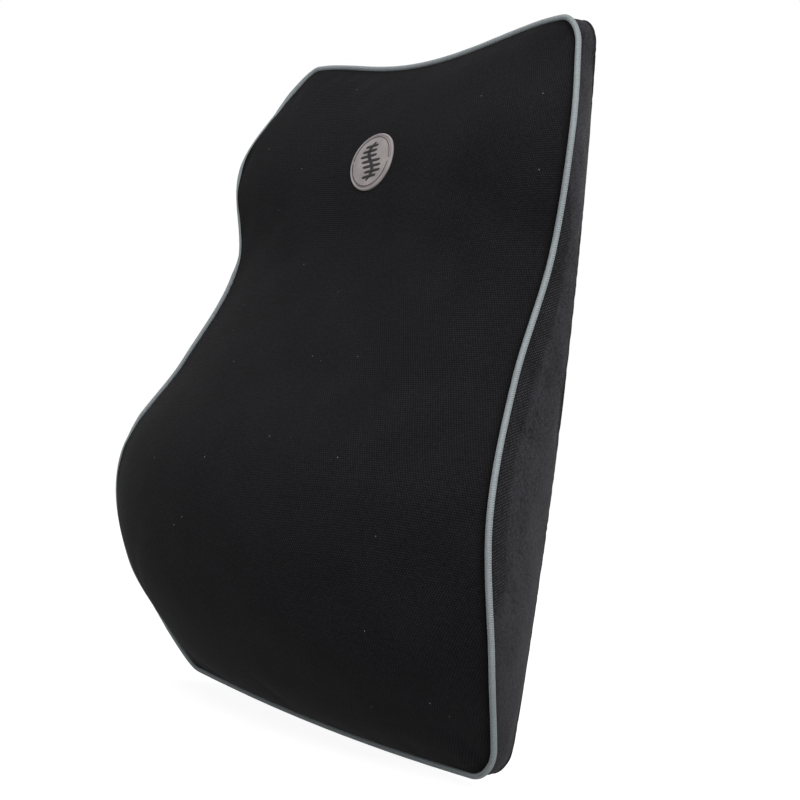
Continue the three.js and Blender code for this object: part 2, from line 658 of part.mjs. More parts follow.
function buckleFemale() {
  const x0 = -HOUSING_LENGTH;
  const housing = roundedPlate([x0, 0], [BUCKLE_BACK, BUCKLE_FRONT], BUCKLE_Z, HOUSING_CORNER);
  const socket = block([-SOCKET_DEPTH, 1], SOCKET_Y, around(SOCKET_WIDTH / 2));
  const windowX = [-WINDOW_OFFSET - WINDOW_LENGTH, -WINDOW_OFFSET];
  const windows = block(windowX, SOCKET_Y, around(BUCKLE_WIDTH));
  const slotX = [x0 + BUCKLE_BAR, x0 + BUCKLE_BAR + BUCKLE_SLOT];
  return cut(housing, socket, windows, ...barCuts(slotX, [x0 - 1, x0 + BUCKLE_BAR]));
}

const PLUG_Y = [BUCKLE_BACK + 1, BUCKLE_FRONT - 1];
const PRONG_Y = [SOCKET_Y[0] + 2 * CLEARANCE, SOCKET_Y[1] - 2 * CLEARANCE];
const PLUG_START = 2 * CLEARANCE;

function buckleMale() {
  const end = PLUG_START + PLUG_LENGTH;
  const plug = roundedPlate([PLUG_START, end], PLUG_Y, around(BUCKLE_WIDTH / 2 - 1.5), 3);
  const guide = block([-SOCKET_DEPTH + 2, PLUG_START + 1], PRONG_Y, around(GUIDE_WIDTH / 2));
  const barX = [end - BUCKLE_BAR, end + 1];
  const slotX = [end - BUCKLE_BAR - BUCKLE_SLOT, end - BUCKLE_BAR];
  return join(cut(plug, ...barCuts(slotX, barX)), guide);
}

// A springy side arm. Its head shows in the housing's side window, where it is pressed.
function buckleArm(side) {
  const outer = SOCKET_WIDTH / 2 - 2 * CLEARANCE;
  const z = [STRAP_HEIGHT + side * (outer - ARM_WIDTH), STRAP_HEIGHT + side * outer];
  z.sort((a, b) => a - b);
  return roundedPlate([-ARM_LENGTH, -CLEARANCE], PRONG_Y, z, 1.4);
}

const LAYER_ONE = CLEARANCE + STRAP_THICKNESS / 2;
const STRAP_END = backHalfWidth(STRAP_HEIGHT) - 4;
const UNDER_BAR = BAR_Y[0] - CLEARANCE - STRAP_THICKNESS / 2;
const OVER_BAR = BAR_Y[1] + CLEARANCE + STRAP_THICKNESS / 2;

// The path of a strap that comes from a side seam, goes round a buckle bar and doubles back.
// barOuter and barInner are the bar's faces away from and next to the buckle's body.
function loopPath(side, barOuter, barInner, returnY, returnEnd) {
  const radius = (OVER_BAR - UNDER_BAR) / 2;
  const turn = Array.from({ length: 7 }, (_, i) => {
    const angle = -Math.PI / 2 + (i / 6) * Math.PI;
    const x = barInner - side * radius * Math.cos(angle) * 0.8;
    return new THREE.Vector2(x, BUCKLE_MIDDLE + radius * Math.sin(angle));
  });
  const ramp = side * 16;
  const near = barOuter + side * 0.6;
  return [
    new THREE.Vector2(side * STRAP_END, LAYER_ONE),
    new THREE.Vector2(near + ramp, LAYER_ONE),
    new THREE.Vector2(near + ramp * 0.72, LAYER_ONE + 0.2),
    new THREE.Vector2(near + ramp * 0.24, UNDER_BAR - 0.2),
    new THREE.Vector2(near, UNDER_BAR),
    ...turn,
    new THREE.Vector2(near, OVER_BAR),
    new THREE.Vector2(near + ramp * 0.24, OVER_BAR - 0.3),
    new THREE.Vector2(near + ramp * 0.8, returnY + 0.3),
    new THREE.Vector2(near + ramp, returnY),
    new THREE.Vector2(returnEnd, returnY),
  ];
}

function strapLeft() {
  const barOuter = -HOUSING_LENGTH;
  const returnY = LAYER_ONE + STRAP_THICKNESS + CLEARANCE;
  return webbing(loopPath(-1, barOuter, barOuter + BUCKLE_BAR, returnY, barOuter - STRAP_RETURN_LENGTH));
}

// The centre bar of the adjuster lies between the strap's two layers.
const ADJUSTER_CENTRE_Y = [
  LAYER_ONE + STRAP_THICKNESS / 2 + CLEARANCE,
  LAYER_ONE + STRAP_THICKNESS / 2 + CLEARANCE + ADJUSTER_BAR * 0.7,
];
const STRAP_RETURN_Y = ADJUSTER_CENTRE_Y[1] + CLEARANCE + STRAP_THICKNESS / 2;
const ADJUSTER_OUTER_Y = [
  STRAP_RETURN_Y + STRAP_THICKNESS / 2 + CLEARANCE,
  STRAP_RETURN_Y + STRAP_THICKNESS / 2 + CLEARANCE + ADJUSTER_BAR * 0.8,
];

function strapRight() {
  const barOuter = PLUG_START + PLUG_LENGTH;
  return webbing(loopPath(1, barOuter, barOuter - BUCKLE_BAR, STRAP_RETURN_Y, barOuter + STRAP_TAIL_LENGTH));
}

// A three-bar slide: the strap's return layer runs over the centre bar and under the outer two.
function strapAdjuster() {
  const half = ADJUSTER_LENGTH / 2;
  const x = [ADJUSTER_PLACE - half, ADJUSTER_PLACE + half];
  const y = [ADJUSTER_CENTRE_Y[0], ADJUSTER_OUTER_Y[1]];
  const frame = roundedPlate(x, y, around(SLOT_HALF + ADJUSTER_RAIL), 2.5);
  const slots = [
    [x[0] + ADJUSTER_BAR, ADJUSTER_PLACE - ADJUSTER_BAR],
    [ADJUSTER_PLACE + ADJUSTER_BAR, x[1] - ADJUSTER_BAR],
  ].map((slotX) => block(slotX, [-1, BUCKLE_FRONT], around(SLOT_HALF)));
  const overCentre = block(
    [ADJUSTER_PLACE - ADJUSTER_BAR - 0.1, ADJUSTER_PLACE + ADJUSTER_BAR + 0.1],
    [ADJUSTER_CENTRE_Y[1], BUCKLE_FRONT],
    around(SLOT_HALF),
  );
  const underOuter = [
    [x[0] - 1, x[0] + ADJUSTER_BAR + 0.1],
    [x[1] - ADJUSTER_BAR - 0.1, x[1] + 1],
  ].map((outerX) => block(outerX, [-1, ADJUSTER_OUTER_Y[0]], around(SLOT_HALF)));
  return cut(frame, ...slots, overCentre, ...underOuter);
}

// The dense row of stitches that holds each strap end.
function bartack(side) {
  const x = [side * (STRAP_END - 2 - BARTACK_LENGTH), side * (STRAP_END - 2)].sort((a, b) => a - b);
  const y0 = LAYER_ONE + STRAP_THICKNESS / 2 + CLEARANCE;
  return block(x, [y0, y0 + BARTACK_THICKNESS], around(STRAP_WIDTH / 2 - 1));
}

// ---------------------------------------------------------------- the scene graph
function piece(name, geometry, material) {
  const mesh = new THREE.Mesh(geometry, material());
  mesh.name = name;
  return mesh;
}

function cover() {
  const group = new THREE.Group();
  group.add(piece("foam_core", foamCore(), MATERIALS.foam));
  group.add(piece("inner_liner", innerLiner(), MATERIALS.liner));
  group.add(piece("side_gusset", sideGusset(), MATERIALS.gussetFabric));
  group.add(piece("back_panel_upper", backPanelUpper(), MATERIALS.backFabric));
  group.add(piece("back_panel_lower", backPanelLower(), MATERIALS.backFabric));
  group.add(piece("piping_wrap", pipingWrap(), MATERIALS.pipingFabric));
  group.add(piece("piping_cord", pipingCord(), MATERIALS.cord));
  group.add(piece("care_label", careLabel(), MATERIALS.label));
  return group;
}

function faceWithBadge() {
  const group = new THREE.Group();
  const panel = piece("front_panel", frontPanel(), MATERIALS.meshFabric);
  const seat = badgeSeat(panel);
  const badge = new THREE.Group();
  badge.position.set(0, seat.y, BADGE_HEIGHT);
  badge.rotation.x = -seat.tilt;
  badge.add(piece("badge_disc", badgeDisc(), MATERIALS.badge));
  badge.add(piece("badge_emblem", badgeEmblem(), MATERIALS.emblem));
  group.add(panel, badge);
  return group;
}

function zip() {
  const group = new THREE.Group();
  for (const [name, side] of [["upper", 1], ["lower", -1]]) {
    group.add(piece(`zip_tape_${name}`, zipTape(side), MATERIALS.zipTape));
    group.add(piece(`zip_coil_${name}`, zipCoil(side), MATERIALS.zipCoil));
  }
  for (const [name, side] of [["right", 1], ["left", -1]]) {
    group.add(piece(`zip_stop_${name}`, zipStop(side), MATERIALS.zipMetal));
    group.add(piece(`zip_end_tab_${name}`, zipEndTab(side), MATERIALS.gussetFabric));
  }
  group.add(piece("zip_slider", zipSlider(), MATERIALS.zipMetal));
  group.add(piece("zip_pull", zipPull(), MATERIALS.zipMetal));
  return group;
}

function strapAndBuckle() {
  const group = new THREE.Group();
  group.add(piece("strap_left", strapLeft(), MATERIALS.webbing));
  group.add(piece("strap_right", strapRight(), MATERIALS.webbing));
  group.add(piece("bartack_left", bartack(-1), MATERIALS.thread));
  group.add(piece("bartack_right", bartack(1), MATERIALS.thread));
  group.add(piece("buckle_female", buckleFemale(), MATERIALS.plastic));
  group.add(piece("buckle_male", buckleMale(), MATERIALS.plastic));
  group.add(piece("buckle_arm_upper", buckleArm(1), MATERIALS.plastic));
  group.add(piece("buckle_arm_lower", buckleArm(-1), MATERIALS.plastic));
  group.add(piece("strap_adjuster", strapAdjuster(), MATERIALS.plastic));
  return group;
}

const ORIGIN_HEIGHT = ZIP_HEIGHT / 2;
const cushion = new THREE.Group();
cushion.add(cover(), faceWithBadge(), zip(), strapAndBuckle());
cushion.position.z = -ORIGIN_HEIGHT;

export default cushion;
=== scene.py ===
"""Looks for a tall contoured back cushion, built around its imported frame. Sizes are in metres."""

import logging
import math
from dataclasses import dataclass
from enum import Enum
from typing import Callable, Iterable, Sequence

import bmesh
import bpy
from mathutils import Matrix, Vector, kdtree, noise
from mathutils.bvhtree import BVHTree

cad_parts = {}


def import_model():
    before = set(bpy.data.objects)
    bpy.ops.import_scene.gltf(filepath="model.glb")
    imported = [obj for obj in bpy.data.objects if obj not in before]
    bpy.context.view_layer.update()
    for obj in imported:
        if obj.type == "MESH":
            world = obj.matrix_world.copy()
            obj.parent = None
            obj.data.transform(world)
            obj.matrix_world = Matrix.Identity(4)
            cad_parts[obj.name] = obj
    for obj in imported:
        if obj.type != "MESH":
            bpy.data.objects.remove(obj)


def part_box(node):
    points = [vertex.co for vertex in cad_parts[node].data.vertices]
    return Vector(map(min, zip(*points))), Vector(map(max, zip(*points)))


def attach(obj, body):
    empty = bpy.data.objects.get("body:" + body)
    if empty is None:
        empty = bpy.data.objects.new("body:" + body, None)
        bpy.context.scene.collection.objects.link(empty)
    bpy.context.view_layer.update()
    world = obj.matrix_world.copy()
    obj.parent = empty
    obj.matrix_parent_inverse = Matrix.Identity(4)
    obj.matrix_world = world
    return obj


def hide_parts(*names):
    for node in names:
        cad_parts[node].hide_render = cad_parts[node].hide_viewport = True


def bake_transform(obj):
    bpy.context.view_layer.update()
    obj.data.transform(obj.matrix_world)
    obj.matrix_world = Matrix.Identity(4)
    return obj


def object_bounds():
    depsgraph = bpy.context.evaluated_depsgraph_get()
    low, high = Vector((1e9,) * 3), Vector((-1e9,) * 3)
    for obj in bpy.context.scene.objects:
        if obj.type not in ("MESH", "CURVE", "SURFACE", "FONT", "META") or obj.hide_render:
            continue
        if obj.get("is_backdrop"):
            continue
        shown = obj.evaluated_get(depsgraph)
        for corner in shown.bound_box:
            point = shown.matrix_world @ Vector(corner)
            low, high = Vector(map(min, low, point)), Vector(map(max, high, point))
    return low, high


log = logging.getLogger("cushion")
MM = 0.001
BODY = "cushion"
CLOTH_MAP = "cloth"
MESH_ZONE = "mesh_zone"
# Painted shade beside the seams: a point value that turns the cloth near black there.
PAINTED_SEAM_SHADE = "painted_seam_shade"
WHITE = (1.0, 1.0, 1.0, 1.0)
# How far the cover's bottom edge lies above the lowest point of the side band's solid.
GUSSET_MARGIN = 0.0024
SEAM_POINTS = 1800
Place = Callable[[float, float], Vector]
Outward = Callable[[Vector], Vector]


# ---------------------------------------------------------------- node wiring
class Wiring:
    """Adds nodes to one tree and joins their sockets."""

    def __init__(self, tree: bpy.types.NodeTree) -> None:
        """Starts wiring in a tree.

        Args:
            tree: the material's or the group's node tree.
        """
        self.tree = tree

    def node(self, kind: str, **settings: object) -> bpy.types.Node:
        """Adds a node and sets its plain properties.

        Args:
            kind: the node's type name.
            settings: properties to set on it.

        Returns:
            The new node.
        """
        made = self.tree.nodes.new(kind)
        for name, value in settings.items():
            setattr(made, name, value)
        return made

    def feed(self, target: bpy.types.NodeSocket, source: object) -> None:
        """Links a socket to another, or sets its value.

        Args:
            target: the input socket.
            source: an output socket or a plain value.
        """
        if isinstance(source, bpy.types.NodeSocket):
            self.tree.links.new(source, target)
        else:
            target.default_value = source

    def math(self, operation: str, *values: object, clamp: bool = False) -> bpy.types.NodeSocket:
        """Adds a Math node.

        Args:
            operation: the node's operation.
            values: sockets or numbers for its inputs.
            clamp: whether the answer is held between 0 and 1.

        Returns:
            Its output socket.
        """
        made = self.node("ShaderNodeMath", operation=operation, use_clamp=clamp)
        for target, value in zip(made.inputs, values):
            self.feed(target, value)
        return made.outputs[0]

    def add(self, first: object, second: object) -> bpy.types.NodeSocket:
        """The sum of two sockets or numbers."""
        return self.math("ADD", first, second)

    def times(self, first: object, second: object) -> bpy.types.NodeSocket:
        """The product of two sockets or numbers."""
        return self.math("MULTIPLY", first, second)

    def ramp(self, value: object, low: float, high: float, start: float, end: float) -> bpy.types.NodeSocket:
        """Turns a range of values smoothly into another.

        Args:
            value: the socket to read.
            low: where the change starts.
            high: where the change ends.
            start: the answer up to low.
            end: the answer from high.

        Returns:
            The socket of the answer.
        """
        made = self.node("ShaderNodeMapRange", interpolation_type="SMOOTHSTEP")
        names = ("Value", "From Min", "From Max", "To Min", "To Max")
        for name, given in zip(names, (value, low, high, start, end)):
            self.feed(made.inputs[name], given)
        return made.outputs["Result"]

    def blend(self, factor: object, first: object, second: object) -> bpy.types.NodeSocket:
        """Mixes two colours.

        Args:
            factor: how much of the second colour shows.
            first: a colour or a socket.
            second: a colour or a socket.

        Returns:
            The mixed colour's socket.
        """
        made = self.node("ShaderNodeMix", data_type="RGBA")
        self.feed(made.inputs["Factor"], factor)
        self.feed(made.inputs["A"], first)
        self.feed(made.inputs["B"], second)
        return made.outputs["Result"]

    def noise(self, vector: object, scale: float, detail: float = 2.0) -> bpy.types.NodeSocket:
        """Adds a noise pattern.

        Args:
            vector: the coordinates.
            scale: how fine it is.
            detail: its octaves.

        Returns:
            The socket of its value.
        """
        made = self.node("ShaderNodeTexNoise")
        self.feed(made.inputs["Vector"], vector)
        self.feed(made.inputs["Scale"], scale)
        self.feed(made.inputs["Detail"], detail)
        return made.outputs["Fac"]

    def axes(self, vector: object) -> tuple:
        """Splits a vector in metres into millimetres along each axis.

        Args:
            vector: the coordinates' socket.

        Returns:
            Three sockets.
        """
        made = self.node("ShaderNodeSeparateXYZ")
        self.feed(made.inputs[0], vector)
        return tuple(self.times(out, 1 / MM) for out in made.outputs)

    def find(self, kind: str) -> bpy.types.Node:
        """The tree's first node of a type."""
        return next(node for node in self.tree.nodes if node.type == kind)


def new_group(name: str, inputs: dict, outputs: Sequence[str]) -> tuple:
    """Starts a shader node group with named sockets.

    Args:
        name: the group's name.
        inputs: each input's name and value; a value of None makes a vector input.
        outputs: the names of its value outputs.

    Returns:
        The group, its wiring, its input node's sockets and its output node's sockets.
    """
    group = bpy.data.node_groups.new(name, "ShaderNodeTree")
    for label, value in inputs.items():
        kind = "NodeSocketVector" if value is None else "NodeSocketFloat"
        made = group.interface.new_socket(label, in_out="INPUT", socket_type=kind)
        if value is not None:
            made.default_value = value
    for label in outputs:
        group.interface.new_socket(label, in_out="OUTPUT", socket_type="NodeSocketFloat")
    wires = Wiring(group)
    return group, wires, wires.node("NodeGroupInput").outputs, wires.node("NodeGroupOutput").inputs


class Patterns:
    """The surface patterns that several finishes share, each a node group built once.

    Scales are in features per metre.
    """

    DRIFT_SCALE, DRIFT = 160.0, 0.12
    HOLE_EDGE, HOLE_FULL = 0.35, 1.9
    CROSSING, RIB = 0.3, 0.2
    SPECK_SCALE, SPECK = 700.0, 1.6
    YARN_SCALE, YARN = 330.0, 1.1
    LINT_SCALE, LINT_FULL, LINT_EDGE, LINT_CHOICE = 95.0, 0.02, 0.05, 0.72
    SHADE_SCALE, SHADE_LOW, SHADE_HIGH = 120.0, 0.88, 1.1

    def __init__(self) -> None:
        """Builds every group."""
        self.mesh = self._mesh()
        self.weave = self._weave()
        self.wear = self._wear()
        self.grain = self._grain()

    def _mesh(self) -> bpy.types.NodeTree:
        """A knitted mesh: small holes on a honeycomb, which wander a little.

        Returns:
            The group, with Hole.
        """
        group, wires, given, out = new_group("knitted_mesh", {"Vector": None, "Pitch": 1.6}, ("Hole",))
        across, along, _ = wires.axes(given["Vector"])
        wander = wires.math("SUBTRACT", wires.noise(given["Vector"], self.DRIFT_SCALE), 0.5)
        drift = wires.times(wander, self.DRIFT)
        turn = wires.math("DIVIDE", 2 * math.pi / (math.sqrt(3) / 2), given["Pitch"])
        total: object = 0.0
        for step in range(3):
            angle = math.radians(90 + 60 * step)
            place = wires.add(wires.times(across, math.cos(angle)), wires.times(along, math.sin(angle)))
            total = wires.add(total, wires.math("COSINE", wires.times(wires.add(place, drift), turn)))
        wires.feed(out["Hole"], wires.ramp(total, self.HOLE_EDGE, self.HOLE_FULL, 0.0, 1.0))
        return group

    def _weave(self) -> bpy.types.NodeTree:
        """A plain weave or rib, whose two pitches may differ.

        Returns:
            The group, with Height.
        """
        start = {"Vector": None, "Across": 0.8, "Along": 0.8, "Slant": 0.0}
        group, wires, given, out = new_group("woven_threads", start, ("Height",))
        across, along, third = wires.axes(given["Vector"])
        lean = wires.add(across, wires.times(along, given["Slant"]))
        waves = []
        for run, pitch in ((lean, given["Across"]), (wires.add(along, third), given["Along"])):
            waves.append(wires.math("SINE", wires.times(wires.math("DIVIDE", run, pitch), 2 * math.pi)))
        cross = wires.times(wires.times(*waves), self.CROSSING)
        both = wires.add(cross, wires.times(waves[0], self.RIB))
        wires.feed(out["Height"], wires.math("ADD", both, 0.5, clamp=True))
        return group

    def _wear(self) -> bpy.types.NodeTree:
        """Mottling, both broad and as fine as the threads, and a few specks of lint.

        Returns:
            The group, with Mottle around 1 and Lint from 0 to 1.
        """
        start = {"Vector": None, "Amount": 0.2, "Size": 24.0}
        group, wires, given, out = new_group("mottle_and_lint", start, ("Mottle", "Lint"))

        def spread(scale: object, detail: float) -> bpy.types.NodeSocket:
            """Noise around 0."""
            return wires.math("SUBTRACT", wires.noise(given["Vector"], scale, detail), 0.5)

        soft = spread(wires.math("DIVIDE", 1 / MM, given["Size"]), 3.0)
        speck = wires.times(spread(self.SPECK_SCALE, 1.0), self.SPECK)
        yarn = wires.times(spread(self.YARN_SCALE, 1.0), self.YARN)
        both = wires.add(soft, wires.add(speck, yarn))
        wires.feed(out["Mottle"], wires.add(1.0, wires.times(both, given["Amount"])))
        cells = wires.node("ShaderNodeTexVoronoi")
        wires.feed(cells.inputs["Vector"], given["Vector"])
        wires.feed(cells.inputs["Scale"], self.LINT_SCALE)
        near = wires.ramp(cells.outputs["Distance"], self.LINT_FULL, self.LINT_EDGE, 1.0, 0.0)
        parts = wires.node("ShaderNodeSeparateColor")
        wires.feed(parts.inputs[0], cells.outputs["Color"])
        chosen = wires.math("GREATER_THAN", parts.outputs[0], self.LINT_CHOICE)
        wires.feed(out["Lint"], wires.times(near, chosen))
        return group

    def _grain(self) -> bpy.types.NodeTree:
        """Fine pebbling, as on coated leather and moulded plastic.

        Returns:
            The group, with Height and Shade.
        """
        start = {"Vector": None, "Size": 0.5}
        group, wires, given, out = new_group("pebbled_grain", start, ("Height", "Shade"))
        cells = wires.node("ShaderNodeTexVoronoi", feature="SMOOTH_F1")
        wires.feed(cells.inputs["Vector"], given["Vector"])
        wires.feed(cells.inputs["Scale"], wires.math("DIVIDE", 1 / MM, given["Size"]))
        wires.feed(out["Height"], wires.math("SUBTRACT", 1.0, cells.outputs["Distance"]))
        broad = wires.noise(given["Vector"], self.SHADE_SCALE, 3.0)
        wires.feed(out["Shade"], wires.ramp(broad, 0.3, 0.7, self.SHADE_LOW, self.SHADE_HIGH))
        return group


class Coordinates(Enum):
    """What a pattern follows."""

    OBJECT = "Object"
    CLOTH = "UV"


class Surface(Wiring):
    """The wiring of one material, with its shader and the coordinates of its patterns."""

    def __init__(self, material: bpy.types.Material, follows: Coordinates) -> None:
        """Readies a material.

        Args:
            material: the material.
            follows: what its patterns follow.
        """
        material.use_nodes = True
        super().__init__(material.node_tree)
        self.material = material
        self.shader = self.find("BSDF_PRINCIPLED")
        if follows is Coordinates.CLOTH:
            self.place = self.node("ShaderNodeUVMap", uv_map=CLOTH_MAP).outputs["UV"]
        else:
            self.place = self.node("ShaderNodeTexCoord").outputs["Object"]

    def put(self, label: str, source: object) -> None:
        """Sets or links one of the shader's inputs."""
        self.feed(self.shader.inputs[label], source)

    def zone(self, name: str) -> bpy.types.NodeSocket:
        """A value that the piece's points carry."""
        return self.node("ShaderNodeAttribute", attribute_name=name).outputs["Fac"]

    def pattern(self, tree: bpy.types.NodeTree, **values: float) -> bpy.types.Node:
        """Places a shared pattern.

        Args:
            tree: the group.
            values: the group's own inputs.

        Returns:
            The group node.
        """
        made = self.node("ShaderNodeGroup", node_tree=tree)
        self.feed(made.inputs["Vector"], self.place)
        for label, value in values.items():
            self.feed(made.inputs[label], value)
        return made

    def scaled(self, colour: object, factor: object) -> bpy.types.NodeSocket:
        """Multiplies a colour.

        Args:
            colour: a colour's socket.
            factor: a value around 1.

        Returns:
            The new colour's socket.
        """
        made = self.node("ShaderNodeVectorMath", operation="SCALE")
        self.feed(made.inputs[0], colour)
        self.feed(made.inputs["Scale"], factor)
        return made.outputs[0]

    def bump(self, height: object, depth: float) -> None:
        """Gives the surface fine relief.

        Args:
            height: the socket of the relief from 0 to 1.
            depth: the relief's real depth in millimetres.
        """
        made = self.node("ShaderNodeBump")
        made.inputs["Strength"].default_value = 1.0
        made.inputs["Distance"].default_value = depth * MM
        self.feed(made.inputs["Height"], height)
        self.put("Normal", made.outputs["Normal"])


@dataclass(frozen=True)
class Finish:
    """What every finish has: its name, which is its slot's, its colour and how it takes light."""

    name: str
    colour: tuple
    roughness: float = 0.9
    sheen: float = 0.0
    specular: float = 0.3
    metallic: float = 0.0
    follows: Coordinates = Coordinates.OBJECT
    sheen_roughness: float = 0.45

    def make(self, patterns: Patterns) -> bpy.types.Material:
        """Builds the material.

        Args:
            patterns: the shared groups.

        Returns:
            The material.
        """
        material = bpy.data.materials.new(self.name)
        material.diffuse_color = (*self.colour, 1.0)
        surface = Surface(material, self.follows)
        surface.put("Roughness", self.roughness)
        surface.put("Sheen Weight", self.sheen)
        surface.put("Sheen Roughness", self.sheen_roughness)
        surface.put("Specular IOR Level", self.specular)
        surface.put("Metallic", self.metallic)
        self.paint(surface, patterns)
        return material

    def paint(self, surface: Surface, patterns: Patterns) -> None:
        """Lays the colours and the relief on the surface."""
        raise NotImplementedError

    def shade(self, factor: float) -> tuple:
        """The finish's colour, darker or lighter."""
        return (*(min(1.0, part * factor) for part in self.colour), 1.0)

    def tones(self, surface: Surface, mask: object, low: float, high: float) -> bpy.types.NodeSocket:
        """The finish's colour, in two shades.

        Args:
            surface: the material's wiring.
            mask: 0 where the first shade shows, 1 where the second one does.
            low: the first shade's share of the colour.
            high: the second shade's share of the colour.

        Returns:
            The colour's socket.
        """
        return surface.blend(mask, self.shade(low), self.shade(high))


@dataclass(frozen=True)
class SewnCloth(Finish):
    """Cloth that carries lint, with painted shade that darkens it beside its seams."""

    lint: float = 0.9
    lint_colour: tuple = (0.30, 0.30, 0.31, 1.0)
    # How strong the painted seam shade is, and its near-black colour.
    painted_shade_strength: float = 0.96
    painted_shade_colour: tuple = (0.001, 0.001, 0.001, 1.0)

    def worn(self, surface: Surface, colour: object, wear: bpy.types.Node) -> None:
        """Adds lint and the painted shade beside the seams to the cloth's colour, and puts it on the surface.

        Args:
            surface: the material's wiring.
            colour: the cloth's colour.
            wear: the wear pattern's node.
        """
        colour = surface.scaled(colour, wear.outputs["Mottle"])
        linted = surface.blend(surface.times(wear.outputs["Lint"], self.lint), colour, self.lint_colour)
        # Painted shade: the cloth darkens towards black beside its seams.
        painted_seam_shade = surface.times(surface.zone(PAINTED_SEAM_SHADE), self.painted_shade_strength)
        surface.put("Base Color", surface.blend(painted_seam_shade, linted, self.painted_shade_colour))


@dataclass(frozen=True)
class MeshCloth(SewnCloth):
    """Black knitted mesh with small holes."""

    pitch: float = 1.6
    depth: float = 0.35
    thread_shade: float = 0.70
    hole_shade: float = 2.1
    mottling: float = 0.7
    mottle_size: float = 40.0

    def paint(self, surface: Surface, patterns: Patterns) -> None:
        """Lays the mesh on the surface.

        Args:
            surface: the material's wiring.
            patterns: the shared groups.
        """
        hole = surface.pattern(patterns.mesh, Pitch=self.pitch).outputs["Hole"]
        wear = surface.pattern(patterns.wear, Amount=self.mottling, Size=self.mottle_size)
        self.worn(surface, self.tones(surface, hole, self.thread_shade, self.hole_shade), wear)
        surface.bump(hole, self.depth)


@dataclass(frozen=True)
class WovenCloth(Finish):
    """Cloth, tape or webbing of visible threads."""

    across: float = 0.7
    along: float = 0.7
    slant: float = 0.0
    depth: float = 0.15
    mottling: float = 0.35
    mottle_size: float = 30.0
    contrast: float = 0.35
    turned: bool = False

    def paint(self, surface: Surface, patterns: Patterns) -> None:
        """Lays the threads on the surface, turned about Y where the cloth runs up and down.

        Args:
            surface: the material's wiring.
            patterns: the shared groups.
        """
        if self.turned:
            mapping = surface.node("ShaderNodeMapping")
            mapping.inputs["Rotation"].default_value = (0.0, math.radians(90), 0.0)
            surface.feed(mapping.inputs["Vector"], surface.place)
            surface.place = mapping.outputs["Vector"]
        weave = surface.pattern(patterns.weave, Across=self.across, Along=self.along, Slant=self.slant)
        wear = surface.pattern(patterns.wear, Amount=self.mottling, Size=self.mottle_size)
        height = weave.outputs["Height"]
        colour = self.tones(surface, height, 1 - self.contrast, 1 + self.contrast)
        surface.put("Base Color", surface.scaled(colour, wear.outputs["Mottle"]))
        surface.bump(height, self.depth)


@dataclass(frozen=True)
class BandCloth(SewnCloth):
    """The side band's smooth cloth, with a zone of open mesh next to the piping."""

    pitch: float = 1.2
    slant: float = 0.5
    depth: float = 0.2
    mottling: float = 1.4
    mottle_size: float = 18.0
    contrast: float = 0.35
    mesh_pitch: float = 1.7
    thread_shade: float = 0.25
    hole_shade: float = 2.0
    mesh_relief: float = 2.0

    def paint(self, surface: Surface, patterns: Patterns) -> None:
        """Lays both cloths on the surface.

        Args:
            surface: the material's wiring.
            patterns: the shared groups.
        """
        zone = surface.zone(MESH_ZONE)
        weave = surface.pattern(patterns.weave, Across=self.pitch, Along=self.pitch, Slant=self.slant)
        height = weave.outputs["Height"]
        hole = surface.pattern(patterns.mesh, Pitch=self.mesh_pitch).outputs["Hole"]
        wear = surface.pattern(patterns.wear, Amount=self.mottling, Size=self.mottle_size)
        plain = self.tones(surface, height, 1 - self.contrast, 1 + self.contrast)
        mesh = self.tones(surface, hole, self.thread_shade, self.hole_shade)
        self.worn(surface, surface.blend(zone, plain, mesh), wear)
        low = surface.times(height, surface.math("SUBTRACT", 1.0, zone))
        high = surface.times(surface.times(hole, zone), self.mesh_relief)
        surface.bump(surface.add(low, high), self.depth)


@dataclass(frozen=True)
class GrainedSkin(Finish):
    """Coated leather, moulded plastic or metal with a fine grain."""

    size: float = 0.5
    depth: float = 0.05
    pit_shade: float = 0.75
    top_shade: float = 1.08
    gloss_spread: float = 0.15

    def paint(self, surface: Surface, patterns: Patterns) -> None:
        """Lays the grain on the surface, glossier where it is worn.

        Args:
            surface: the material's wiring.
            patterns: the shared groups.
        """
        grain = surface.pattern(patterns.grain, Size=self.size)
        height, shade = grain.outputs["Height"], grain.outputs["Shade"]
        colour = self.tones(surface, height, self.pit_shade, self.top_shade)
        surface.put("Base Color", surface.scaled(colour, shade))
        low = self.roughness * (1 - self.gloss_spread)
        high = min(1.0, self.roughness * (1 + self.gloss_spread))
        rough = surface.ramp(shade, patterns.SHADE_LOW, patterns.SHADE_HIGH, low, high)
        surface.put("Roughness", rough)
        surface.bump(height, self.depth)


